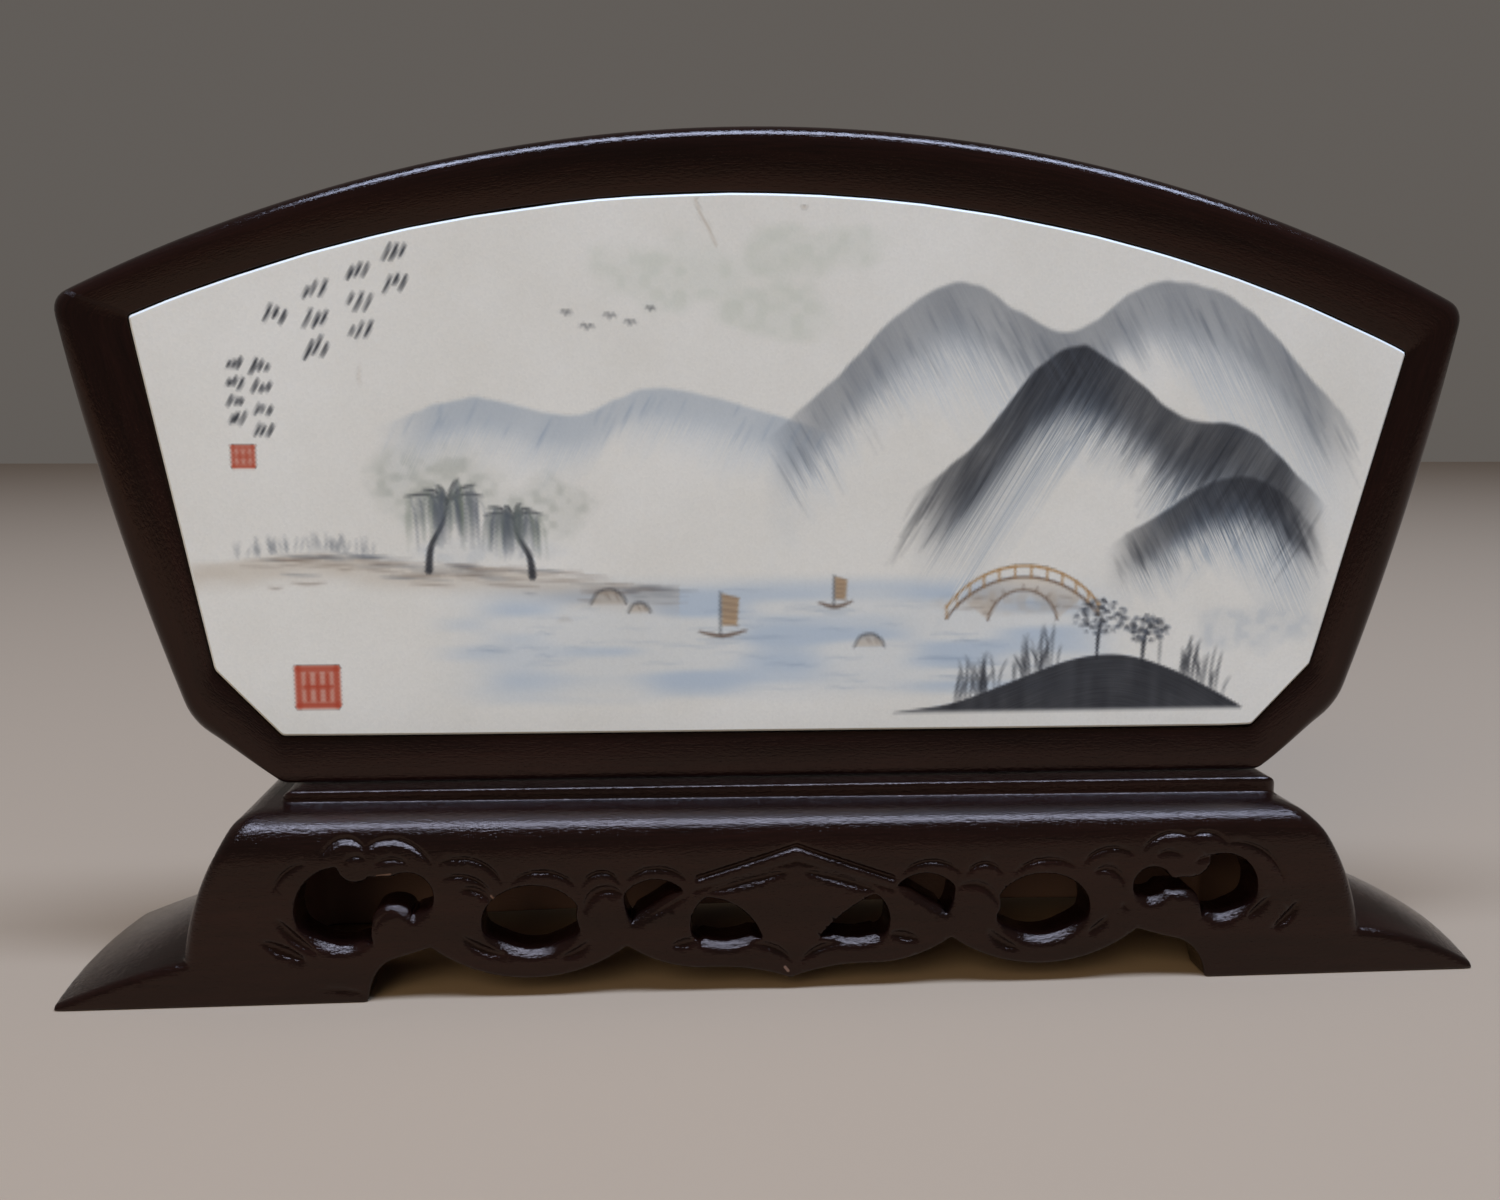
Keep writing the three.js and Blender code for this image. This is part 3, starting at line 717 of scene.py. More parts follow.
@dataclass
class Stand:
    """The carved stand, from its hollow body with rolled shoulders to its pierced apron and outswept feet."""

    step: float = 0.42
    adaptivity: float = 0.04
    half_depth: float = 28.0
    body_half: float = 132.8
    body_height: float = 40.3
    beyond: float = 6.0
    shoulder_rise: float = 9.2
    shoulder_radius: float = 11.0
    shoulder_crest: float = 2.4
    corner_round: float = 3.0
    end_reach: float = 38.6
    end_heights: dict[Side, float] = field(default_factory=lambda: {Side.LEFT: 54.0, Side.RIGHT: 50.0})
    wall: float = 10.0
    hollow_half: float = 112.0
    hollow_height: float = 33.5
    hollow_corner: float = 3.0
    hollow_ceiling: float = 2.0
    hollow_edge: float = 0.4
    overcut: float = 2.0
    piercing_edge: float = 0.35
    apron_edge: float = 0.8
    ground_edge: float = 0.3
    plate_half: float = 115.2
    plate_shift: float = 1.8
    plate_half_depth: float = 14.0
    plate_top: float = 43.7
    plate_end_round: float = 3.0
    plate_ease: float = 0.6
    plate_sink: float = 2.5
    plate_blend: float = 0.3
    foot_tip: float = 159.2
    foot_tip_bow: float = 1.5
    foot_root: float = 126.8
    foot_tip_height: float = 1.0
    foot_tip_edge: float = 0.35
    foot_ridge: float = 10.2
    foot_edge: float = 1.5
    foot_blend: float = 0.5
    foot_crowns: dict[Side, tuple] = field(
        default_factory=lambda: {Side.LEFT: (4.2, 0.8, 1.4), Side.RIGHT: (6.4, 2.9, 2.0)})
    foot_inner: dict[Side, float] = field(default_factory=lambda: {Side.LEFT: 92.8, Side.RIGHT: 95.4})
    back_arch: tuple[float, float] = (1.6, 3.0)
    oval: tuple = (57.0, 17.2, 11.0, 8.5)
    oval_knob: tuple = (41.2, 18.4, 6.0)
    oval_knob_edge: float = 0.4
    left_kidney: Kidney = Kidney(
        ball=(-97.8, 20.8, 10.1), lobe=(-83.8, 23.4, 5.9), waist=(-89, 22.6, 6, 6),
        knobs=((-94.5, 31.2, 3.8), (-87.1, 15.4, 4.4)))
    right_kidney: Kidney = Kidney(
        ball=(98.6, 21, 8.3), lobe=(82.3, 21.9, 4.7), waist=(90, 21.6, 7, 2.4),
        knobs=((91, 28.4, 4.4), (88.6, 14.2, 5.2)))
    diamond_hollow: tuple[float, float] = (2.6, 0.9)
    line_width: float = 1.6
    line_depth: float = 0.85
    chevron_cuts: tuple = ((0.0, 1.7, 0.9), (3.4, 1.0, 0.5))
    rim_scoop: float = 1.7
    step_settle: float = -0.4
    step_lean: float = -0.004
    shoulder_lean: float = -0.0085

    def arches(self) -> list[np.ndarray]:
        """Paths of the fine lines cut into the apron around its piercings."""
        spans = [
            ((-101.4, 33.4), (-96.6, 36.2), (-92.4, 34.5)), ((-92.4, 34.5), (-86.2, 35.9), (-78.2, 31.0)),
            ((-112.0, 25.6), (-109.4, 29.6), (-105.0, 31.7)), ((-76.8, 31.0), (-69.4, 31.6), (-63.2, 26.4)),
            ((-76.0, 27.6), (-70.0, 27.6), (-65.4, 23.4)), ((-61.4, 26.3), (-54.4, 28.6), (-47.4, 25.4)),
            ((-45.8, 25.4), (-41.6, 28.2), (-37.8, 25.6)), ((-36.4, 26.2), (-29.4, 28.8), (-23.0, 26.0)),
            ((24.8, 26.4), (31.6, 29.0), (38.2, 26.2)), ((39.4, 25.8), (43.4, 28.2), (47.6, 25.8)),
            ((50.2, 25.8), (57.6, 28.8), (64.4, 27.0)), ((65.8, 27.6), (71.8, 31.0), (77.4, 29.8)),
            ((79.4, 30.4), (85.0, 33.9), (90.6, 33.4)), ((90.6, 33.4), (95.2, 33.9), (99.0, 31.6)),
            ((99.0, 31.6), (107.4, 29.8), (112.6, 23.0)),
        ]
        return [arc_through(*span, 16) for span in spans]

    def piercings(self, x: np.ndarray, z: np.ndarray) -> np.ndarray:
        """Signed distance to the nearest opening of the front apron.

        Args:
            x: Places along the stand.
            z: Heights.
        Returns:
            Distances, negative inside the opening.
        """
        opening = np.minimum(self.left_kidney.distance(x, z), self.right_kidney.distance(x, z))
        ox, oz, half_length, half_height = self.oval
        kx, kz, kr = self.oval_knob
        for way in (-1, 1):
            oval = disc(x, z, (way * ox, oz), half_length, half_height)
            oval = meet(oval, kr - np.hypot(x - way * kx, z - kz), self.oval_knob_edge)
            opening = np.minimum(opening, oval)
            for outline in (self.leaf_outline(), self.pane_outline(self.diamond_hollow[0 if way < 0 else 1])):
                opening = np.minimum(opening, outline_distance(x, z, outline * (way, 1)))
        return opening

    @staticmethod
    def leaf_outline() -> np.ndarray:
        """Outline of the leaf-shaped opening on the right of the middle."""
        tip, back, heel, toe = (23.6, 23.5), (30.2, 26.4), (37.0, 23.0), (35.2, 15.6)
        return np.concatenate([
            arc_through(tip, back, heel, 10)[:-1], bowed_side(heel, toe, -0.5, 6)[:-1],
            bowed_side(toe, tip, -0.5, 6)[:-1]])

    @staticmethod
    def pane_outline(hollow: float) -> np.ndarray:
        """Outline of the right opening beside the middle diamond.

        Args:
            hollow: How far its side towards the middle gives way.
        Returns:
            Its corners.
        """
        top, side, low, belly, inner = (18.8, 22.0), (22.4, 15.2), (20.6, 10.5), (13.6, 9.4), (6.0, 11.9)
        return np.concatenate([
            arc_through(top, side, low, 10)[:-1], arc_through(low, belly, inner, 10)[:-1],
            bowed_side(inner, top, -hollow, 10)[:-1]])

    def undercut_outline(self) -> np.ndarray:
        """Outline of the open space below the front apron, between the feet.

        Returns:
            Its corners, from the right foot over the scallops to the left foot.
        """
        scallops = np.concatenate([
            arc_through((79.0, 11.9), (57.4, 4.3), (36.3, 11.1), 24),
            arc_through((36.3, 11.1), (29.0, 7.3), (20.0, 5.5), 10)[1:],
            bezier((20.0, 5.5), (9.0, 6.0), (0.0, 2.6), 10)[1:]])
        halves = []
        for way in (Side.RIGHT, Side.LEFT):
            inner = self.foot_inner[way]
            knee = bezier((inner, 0.0), (inner - 1.2, 8.8), (86.0, 9.8), 8)
            halves.append(np.concatenate([[(inner, -self.beyond)], knee, scallops]) * (way.value, 1))
        return np.concatenate([halves[0][:-1], halves[1][::-1]])

    def relief(self, x: np.ndarray, z: np.ndarray) -> np.ndarray:
        """Depth of the carving below the apron's face.

        Args:
            x: Places along the stand.
            z: Heights.
        Returns:
            Depths, zero where the face is plain.
        """
        depth = np.zeros(np.broadcast(x, z).shape)
        for path in self.arches():
            apart, along = path_distance(x, z, path)
            swell = 0.3 + 0.7 * np.sqrt(np.sin(math.pi * np.clip(along, 0, 1)))
            cut = self.line_depth * swell * np.clip(1 - apart / (self.line_width / 2 * swell), 0, None)
            depth = np.maximum(depth, cut)
        for hollow in APRON_HOLLOWS:
            depth = np.maximum(depth, hollow.depth_at(x, z))
        for drop, width, cut in self.chevron_cuts:
            left = (-20.6 - 0.2 * drop, 26.4 - 0.85 * drop)
            right = (22.8, 25.4 - 0.8 * drop)
            apart, _ = path_distance(x, z, np.array([left, (1.2, 33.1 - drop), right]))
            depth = np.maximum(depth, cut * np.clip(1.25 * (1 - 2 * apart / width), 0, 1))
        return depth

    def rim_scoops(self, opening: np.ndarray) -> np.ndarray:
        """How deep the rims slope inwards: not at all above an opening, and widest below it."""
        down = np.gradient(opening, self.step, axis=-1)
        return 0.2 + self.rim_scoop * smooth(-down, 0.3, 0.95)

    def body(self, grid: Grid) -> np.ndarray:
        """Distances to the massive body with its carved apron, without piercings, step and feet.

        Args:
            grid: Places to fill.
        Returns:
            One distance for each place, negative inside.
        """
        x, y, z = grid.x, grid.y, grid.z
        plan_x, plan_z = x[:, 0, :], z[:, 0, :]
        foot_z = self.body_height - self.shoulder_rise
        quarter = np.linspace(0, math.pi / 2, 17)
        radius = self.shoulder_radius
        depth = self.half_depth - radius * (1 - np.cos(quarter))
        half = np.stack([depth, foot_z + radius * np.sin(quarter)], 1)
        half = np.concatenate([[(self.half_depth, -self.beyond)], half])
        section = np.concatenate([half, half[::-1] * (-1, 1)])
        solid = outline_distance(y[0], z[0], section)[None].astype(np.float32)
        solid = meet(solid, z - self.body_height, self.shoulder_crest)
        relief = self.relief(plan_x, plan_z)[:, None, :]
        solid = solid + relief * (y < 0)
        heights = np.linspace(-self.beyond, self.body_height + self.beyond, 40)
        ends = {}
        for way in Side:
            lifted = np.clip(heights, 0, self.body_height + self.beyond) / self.end_heights[way]
            reach = self.body_half - self.end_reach * (1 - np.sqrt(1 - lifted ** 2))
            ends[way] = np.stack([way.value * reach, heights], 1)
        outline = np.concatenate([ends[Side.RIGHT], ends[Side.LEFT][::-1]])
        span = outline_distance(plan_x, plan_z, outline)[:, None, :].astype(np.float32)
        return meet(solid, span, self.corner_round)

    def plate(self, grid: Grid) -> np.ndarray:
        """Distances to the low step on top of the body.

        Args:
            grid: Places to fill.
        Returns:
            One distance for each place, negative inside.
        """
        x, y, z = grid.x - self.plate_shift, grid.y, grid.z
        low = self.body_height - self.plate_sink
        middle = (low + self.plate_top) / 2
        upright = np.abs(z - middle) - (self.plate_top - low) / 2
        across = meet(np.abs(y) - self.plate_half_depth, upright, self.plate_ease)
        return meet(across, np.abs(x) - self.plate_half, self.plate_end_round)

    def foot(self, grid: Grid, way: Side) -> np.ndarray:
        """Distances to one foot, from its root in the body to its thin bowed tip.

        Args:
            grid: Places to fill.
            way: Which foot.
        Returns:
            One distance for each place, negative inside.
        """
        x, y, z = grid.x * way.value, grid.y, grid.z
        crown_body, crown_tip, fall = self.foot_crowns[way]
        across = 1 - (y / self.half_depth) ** 2
        reach = self.foot_tip - self.foot_root + self.foot_tip_bow * across
        out = (x - self.foot_root) / reach
        held = np.clip(out, 0, 1)
        ridge = self.foot_tip_height + (self.foot_ridge - self.foot_tip_height) * (1 - held ** fall)
        top = ridge + (crown_body + (crown_tip - crown_body) * held) * across
        slope_x = np.gradient(top, grid.step, axis=0)
        slope_y = np.gradient(top, grid.step, axis=1)
        over = (z - top) / np.sqrt(1 + slope_x ** 2 + slope_y ** 2)
        sides = meet(np.abs(y) - self.half_depth + 0 * x, over, self.foot_edge)
        return np.maximum(meet(sides, (out - 1) * reach, self.foot_tip_edge), self.foot_root - x)

    def distances(self, grid: Grid) -> np.ndarray:
        """Distances to the whole stand.

        Args:
            grid: Places to fill.
        Returns:
            One distance for each place, negative inside.
        """
        x, y, z = grid.x, grid.y, grid.z
        plan_x, plan_z = x[:, 0, :], z[:, 0, :]
        solid = self.body(grid)
        for way in Side:
            solid = join(solid, self.foot(grid, way), self.foot_blend)
        solid = np.maximum(solid, np.abs(y) - self.half_depth)
        inner = self.half_depth - self.wall
        hollow = meet(np.abs(x) - self.hollow_half, np.abs(y) - inner, self.hollow_corner)
        hollow = meet(hollow, z - self.hollow_height, self.hollow_ceiling)
        solid = meet(solid, -hollow, self.hollow_edge)
        opening = self.piercings(plan_x, plan_z)
        scoop = np.clip(y + self.half_depth, 0, self.rim_scoops(opening)[:, None, :])
        cutter = np.maximum(opening[:, None, :] + scoop, y + inner - self.overcut)
        solid = meet(solid, -cutter, self.piercing_edge)
        undercut = outline_distance(plan_x, plan_z, self.undercut_outline())
        under = np.maximum(undercut[:, None, :], y + inner - self.overcut)
        solid = meet(solid, -under, self.apron_edge)
        left, right = self.foot_inner[Side.LEFT], self.foot_inner[Side.RIGHT]
        ends, crown = self.back_arch
        arch = arc_through((right, ends), ((right - left) / 2, crown), (-left, ends), 24)
        arch = np.concatenate([[(right, -self.beyond)], arch, [(-left, -self.beyond)]])
        behind = outline_distance(plan_x, plan_z, arch)[:, None, :]
        behind = np.maximum(behind, inner - self.overcut - y)
        solid = meet(solid, -behind, self.apron_edge)
        solid = join(solid, self.plate(grid), self.plate_blend)
        return meet(solid, -z, self.ground_edge).astype(np.float32)

    def build(self, finish: bpy.types.Material) -> bpy.types.Object:
        """Makes the stand's mesh.

        Args:
            finish: The lacquer.
        Returns:
            The piece.
        """
        margin = 2 * self.step
        reach = self.foot_tip + self.foot_tip_bow + margin
        grid = Grid((-reach, -self.half_depth - margin, -margin),
                    (reach, self.half_depth + margin, self.plate_top + margin), self.step)
        values = self.distances(grid)
        points, faces, normals = grid.skin(values, self.adaptivity)
        settled = self.settle(points)
        piece = new_piece("carved_stand", settled, faces, finish, "stand")
        mesh = piece.data
        store(mesh, "brush", Layer.FLOAT_VECTOR, settled)
        x, y, z = points.T
        within = (np.abs(x) < self.hollow_half + 0.3) & (np.abs(y) < self.half_depth - self.wall + 0.3)
        store(mesh, "bare", Layer.FLOAT, within & (z > 0.4) & (z < self.hollow_height + 0.3))
        mesh.shade_smooth()
        mesh.normals_split_custom_set_from_vertices(normals.tolist())
        return piece

    def settle(self, points: np.ndarray) -> np.ndarray:
        """Lets the shoulders and the step lean a little, as on the real stand.

        Args:
            points: Points of the even stand.
        Returns:
            The moved points.
        """
        moved = points.copy()
        shoulder = smooth(points[:, 2], 33.0, self.body_height)
        step = smooth(points[:, 2], self.body_height, self.plate_top - 0.5)
        lean = self.shoulder_lean * shoulder * (1 - step) + self.step_lean * step
        moved[:, 2] += lean * points[:, 0] + self.step_settle * step
        return moved


# The frame

@dataclass
class Fan:
    """A fan outline with an arched top, two leaning sides, two cut corners and a straight foot."""

    left: tuple
    right: tuple
    crown: tuple
    side_bow: float
    corners: tuple[float, float, float]
    spacing: float = 1.6

    def outline(self) -> np.ndarray:
        """Points clockwise from the top left corner, evenly spaced on each stretch.

        Returns:
            The outline, open at its end.
        """
        (lt, ls, lf), (rt, rs, rf) = self.left, self.right
        top, side, foot = self.corners
        bow = max(self.side_bow, 0.001)
        edges = [
            (arc_through(lt, self.crown, rt, 400), top), (bowed_side(rt, rs, -bow, 60), side),
            (np.linspace(rs, rf, 40), foot), (np.linspace(rf, lf, 200), foot),
            (np.linspace(lf, ls, 40), side), (bowed_side(ls, lt, -bow, 60), top),
        ]
        points = []
        for index, (run, corner) in enumerate(edges):
            following = edges[(index + 1) % len(edges)][0]
            before = edges[index - 1][1]
            lengths = lengths_along(run)
            count = max(2, round((lengths[-1] - before - corner) / self.spacing))
            places = np.linspace(before, lengths[-1] - corner, count + 1)
            kept = np.stack([np.interp(places, lengths, run[:, i]) for i in range(2)], 1)
            onward = following[1] - following[0]
            ahead = following[0] + onward / np.linalg.norm(onward) * corner
            points.extend([kept, bezier(kept[-1], run[-1], ahead, 6)[1:-1]])
        return np.concatenate(points)


def outward(outline: np.ndarray) -> np.ndarray:
    """Unit normals of a clockwise outline.

    Args:
        outline: Its points.
    Returns:
        One normal for each point, pointing out.
    """
    along = np.roll(outline, -1, axis=0) - np.roll(outline, 1, axis=0)
    along /= np.linalg.norm(along, axis=1, keepdims=True)
    return np.stack([-along[:, 1], along[:, 0]], 1)


SLAB = Fan(
    left=((-142.4, 148.2), (-128.2, 70.4), (-113.8, 54.8)),
    right=((144.9, 141.8), (126.4, 68.8), (112.4, 53.8)),
    crown=(-6.0, 175.7), side_bow=0.0, corners=(0.9, 0.9, 0.9))


@dataclass
class Frame:
    """The fan-shaped board with its crowned face and the recess that holds the slab."""

    half_depth: float = 8.0
    foot_height: float = 44.0
    shoulder_height: float = 57.8
    settled_height: float = 60.0
    edge_round: float = 4.6
    back_round: float = 4.0
    foot_ease: float = 0.7
    crown_drop: float = 0.9
    back_ease: float = 1.2
    back_margin: float = 1.8
    recess_gap: float = 0.3
    recess_depth: float = 6.7
    recess_ease: float = 0.35
    fan: Fan = field(default_factory=lambda: Fan(
        left=((-159.2, 152.2), (-134.2, 57.8), (-114.0, 44.0)),
        right=((159.2, 152.2), (134.2, 57.8), (114.4, 44.0)),
        crown=(0.0, 190.4), side_bow=2.0, corners=(4.0, 5.0, 1.5)))

    def build(self, stand: Stand, finish: bpy.types.Material) -> bpy.types.Object:
        """Makes the frame's mesh as loops of equally many points, from the back into the recess.

        Args:
            stand: The stand that it sits on.
            finish: The lacquer.
        Returns:
            The piece.
        """
        outer = self.fan.outline()
        inner_fan = SLAB.outline()
        inner_fan = inner_fan + outward(inner_fan) * self.recess_gap
        inner = self.matched(outer, inner_fan)
        inward = inner - outer
        width = np.linalg.norm(inward, axis=1, keepdims=True)
        inward = inward / width
        rise = smooth(outer[:, 1], self.foot_height, self.shoulder_height)[:, None]
        round_in = self.foot_ease + (self.edge_round - self.foot_ease) * rise
        round_back = np.minimum(round_in, self.back_round)
        front, ease = -self.half_depth, self.back_ease
        loops = [(outer + inward * reach, np.full(len(outer), self.half_depth - drop))
                 for reach, drop in ((self.back_margin, 0), (ease, 0), (ease * 0.3, ease * 0.3), (0, ease))]
        for angle in np.linspace(0, math.pi / 2, 9):
            place = outer + inward * round_in * (1 - math.cos(angle))
            depth = front + round_back[:, 0] * (1 - math.sin(angle))
            loops.append((place, depth))
        for share in np.linspace(0, 1, 13)[1:]:
            place = outer + inward * (round_in + (width - self.recess_ease - round_in) * share)
            loops.append((place, np.full(len(outer), front + self.crown_drop * share ** 2)))
        lip = front + self.crown_drop
        for angle in np.linspace(0, math.pi / 2, 4)[1:]:
            place = inner - inward * self.recess_ease * (1 - math.sin(angle))
            loops.append((place, np.full(len(outer), lip + self.recess_ease * (1 - math.cos(angle)))))
        loops.append((inner, np.full(len(outer), front + self.recess_depth)))
        count = len(outer)
        points = np.concatenate([np.stack([p[:, 0], y, p[:, 1]], 1) for p, y in loops])
        held = smooth(points[:, 2], self.foot_height, self.settled_height)
        points[:, 2] += (stand.step_lean * points[:, 0] + stand.step_settle) * (1 - held)
        faces = []
        for ring in range(len(loops) - 1):
            start = ring * count
            for i in range(count):
                j = (i + 1) % count
                faces.append((start + i, start + count + i, start + count + j, start + j))
        last = (len(loops) - 1) * count
        faces.append(tuple(range(count)))
        faces.append(tuple(reversed(range(last, last + count))))
        piece = new_piece("fan_frame", points, faces, finish, "frame")
        lengths = lengths_along(outer)
        across = np.concatenate([np.linalg.norm(p - outer, axis=1) for p, _ in loops])
        brush = np.stack([np.tile(lengths, len(loops)), across, points[:, 1]], 1)
        # The board's back is brushed straight along its length
        brush[:count] = points[:count][:, [0, 2, 1]]
        store(piece.data, "brush", Layer.FLOAT_VECTOR, brush)
        piece.data.shade_smooth()
        for polygon in piece.data.polygons[-2:]:
            polygon.use_smooth = False
        return piece

    @staticmethod
    def matched(outer: np.ndarray, inner: np.ndarray) -> np.ndarray:
        """Spreads the points of the inner outline so that each has its partner on the outer one.

        Args:
            outer: The outer outline.
            inner: The inner outline, which starts at the same corner.
        Returns:
            As many inner points as outer ones.
        """
        def stations(outline: np.ndarray) -> np.ndarray:
            """Shares of the length, from zero to one, corner by corner."""
            lengths = lengths_along(closed(outline))
            return lengths / lengths[-1]

        corners_outer, corners_inner = (Frame.corner_places(outline) for outline in (outer, inner))
        place = np.interp(stations(outer)[:-1], corners_outer, corners_inner)
        ring = closed(inner)
        return np.stack([np.interp(place, stations(inner), ring[:, i]) for i in range(2)], 1)

    @staticmethod
    def corner_places(outline: np.ndarray) -> np.ndarray:
        """Shares of the outline's length at which its six corners lie, with both ends.

        Args:
            outline: A clockwise fan outline.
        Returns:
            Rising shares from zero to one.
        """
        steps = np.diff(closed(outline), axis=0)
        lengths = lengths_along(closed(outline))
        heading = np.unwrap(np.arctan2(steps[:, 1], steps[:, 0]))
        middles = (lengths[:-1] + lengths[1:]) / 2
        # How far the outline turns over a short stretch around each place
        half_window, apart, corners_between = 6.0, 15.0, 5
        after = np.interp(middles + half_window, middles, heading)
        before = np.interp(middles - half_window, middles, heading)
        chosen = []
        for index in np.argsort(-np.abs(after - before)):
            place = middles[index]
            clear = all(abs(place - other) > apart for other in chosen)
            if clear and apart < place < lengths[-1] - apart:
                chosen.append(place)
            if len(chosen) == corners_between:
                break
        return np.array([0.0, *sorted(chosen), lengths[-1]]) / lengths[-1]


# The slab and its painting

def value_noise(x: np.ndarray, z: np.ndarray, size: float, seed: int) -> np.ndarray:
    """Soft cloudy values between zero and one.

    Args:
        x: First coordinate of the places.
        z: Second coordinate.
        size: Width of one cloud.
        seed: Picks the pattern.
    Returns:
        One value for each place.
    """
    table = np.random.default_rng(seed).random((256, 256))
    u, v = np.asarray(x) / size + 97.0, np.asarray(z) / size + 41.0
    i, j = np.floor(u).astype(int), np.floor(v).astype(int)
    s, t = smooth(u - i, 0, 1), smooth(v - j, 0, 1)
    i, j = i % 255, j % 255
    low = table[i, j] * (1 - s) + table[i + 1, j] * s
    high = table[i, j + 1] * (1 - s) + table[i + 1, j + 1] * s
    return low * (1 - t) + high * t


BELOW_SLAB = -99.0


class Ink(Enum):
    """The colours on the brush."""

    BLACK = "#202329"
    GREY = "#565d66"
    BLUE_GREY = "#7389a0"
    PALE_BLUE = "#a3b8cd"
    MIST_GREEN = "#b9c0ad"
    MOSS = "#7a8374"
    SAND = "#b7a68f"
    BROWN = "#6b584a"
    OCHRE = "#a6763f"
    RED = "#b5452c"
    STAIN = "#a8977f"


@dataclass(frozen=True)
class Touch:
    """One touch of the brush: a line of changing width, or a filled shape where no widths are given."""

    path: np.ndarray
    widths: np.ndarray | None
    ink: Ink
    cover: float

    def reach(self) -> tuple[np.ndarray, np.ndarray]:
        """Lowest and highest corner of the area that it may touch."""
        margin = 1.0 + (0 if self.widths is None else self.widths.max())
        return self.path.min(axis=0) - margin, self.path.max(axis=0) + margin

    def amount(self, x: np.ndarray, z: np.ndarray, blur: float) -> np.ndarray:
        """How much of it lies at places.

        Args:
            x: Places along the slab.
            z: Heights.
            blur: Width of its soft edge.
        Returns:
            Cover from zero to one.
        """
        if self.widths is None:
            return self.cover * np.clip(0.5 - outline_distance(x, z, self.path) / blur, 0, 1)
        apart, along = path_distance(x, z, self.path)
        width = np.interp(along, np.linspace(0, 1, len(self.widths)), self.widths)
        thin = np.minimum(width / blur, 1.0) ** 0.7
        return self.cover * thin * np.clip(0.5 + (np.maximum(width, blur) / 2 - apart) / blur, 0, 1)


def height_over(x: np.ndarray, points: Points, before: float | None = None) -> np.ndarray:
    """Height of a soft line over places.

    Args:
        x: Places along the slab.
        points: Points of the line, from left to right.
        before: Height left of the line, where it isn't that of its first point.
    Returns:
        Heights, far below the slab on the right of the line.
    """
    line = smooth_path(points, 10)
    return np.interp(x, line[:, 0], line[:, 1], left=before, right=BELOW_SLAB)


@dataclass(frozen=True)
class Hill:
    """A hill in brushed ink: dark along its crest, combed downhill, melting into mist."""

    crest: tuple
    reach: float
    ink: Ink
    mist: Ink
    cover: float
    lean: float
    dry: float
    seed: int
    fade: float = 15.0

    def height(self, x: np.ndarray) -> np.ndarray:
        """Height of the crest, far below the slab where the hill has ended."""
        return height_over(x, list(self.crest), BELOW_SLAB) + 0.5 * value_noise(x, 0, 3.0, self.seed)

    def combed(self, x: np.ndarray, z: np.ndarray) -> np.ndarray:
        """Which downhill stroke a place lies in, counted in millimetres across the strokes."""
        return x - self.lean * z

    def cover_at(self, x: np.ndarray, z: np.ndarray) -> tuple[np.ndarray, np.ndarray]:
        """How much ink lies at places, and how far they have faded from ink to mist.

        Args:
            x: Places along the slab.
            z: Heights.
        Returns:
            Cover and fading, both from zero to one.
        """
        below = self.height(x) - z
        across = self.combed(x, z)
        broad = value_noise(across, 0, 9.0, self.seed + 1)
        narrow = value_noise(across, 0, 2.2, self.seed + 2)
        ragged = 0.55 + 0.6 * broad + 0.25 * narrow
        reach = self.reach * ragged
        first, last = self.crest[0][0], self.crest[-1][0]
        ends = smooth(x, first, first + self.fade) * smooth(-x, -last, self.fade - last)
        body = smooth(below, -0.3, 1.0) * (1 - smooth(below, 0.3 * reach, reach)) * ends
        clouds = 0.72 + 0.28 * value_noise(across, z * 0.25, 6.0, self.seed + 3)
        return self.cover * body * clouds, smooth(below, 0.12 * self.reach, 0.85 * self.reach)


HILLS = (
    Hill(crest=((-92, 124), (-70, 131), (-48, 127), (-30, 133), (-8, 129), (14, 122)),
         reach=17, ink=Ink.BLUE_GREY, mist=Ink.PALE_BLUE, cover=0.42, lean=0.5, dry=0.5, seed=3),
    Hill(crest=((-6, 120), (12, 136), (26, 150), (40, 157), (54, 150), (66, 146), (84, 157), (104, 153),
                (124, 134), (136, 122)),
         reach=32, ink=Ink.GREY, mist=Ink.PALE_BLUE, cover=0.62, lean=-0.55, dry=0.75, seed=17),
    Hill(crest=((28, 108), (44, 121), (58, 138), (68, 143), (80, 136), (92, 127), (108, 124), (122, 112),
                (130, 104)),
         reach=36, ink=Ink.BLACK, mist=Ink.BLUE_GREY, cover=0.93, lean=0.6, dry=0.85, seed=29),
    Hill(crest=((74, 96), (90, 106), (104, 113), (116, 110), (128, 98)),
         reach=24, ink=Ink.BLACK, mist=Ink.BLUE_GREY, cover=0.8, lean=-0.5, dry=0.85, seed=41),
)


@dataclass(frozen=True)
class Pool:
    """A soft ragged pool of thin colour, dabbed unevenly."""

    at: tuple[float, float]
    half_length: float
    half_height: float
    ink: Ink
    cover: float
    seed: int
    dab_seed: int
    dab_size: float
    dab_edges: tuple[float, float]
    least: float

    def amount(self, x: np.ndarray, z: np.ndarray) -> np.ndarray:
        """How much of it lies at places.

        Args:
            x: Places along the slab.
            z: Heights.
        Returns:
            Cover from zero to one.
        """
        apart = np.hypot((x - self.at[0]) / self.half_length, (z - self.at[1]) / self.half_height)
        body = 1 - smooth(apart + 0.5 * value_noise(x, z, 6.0, self.seed) - 0.25, 0.45, 1.0)
        dabs = smooth(value_noise(x, z, self.dab_size, self.dab_seed), *self.dab_edges)
        return self.cover * body * (self.least + (1 - self.least) * dabs)


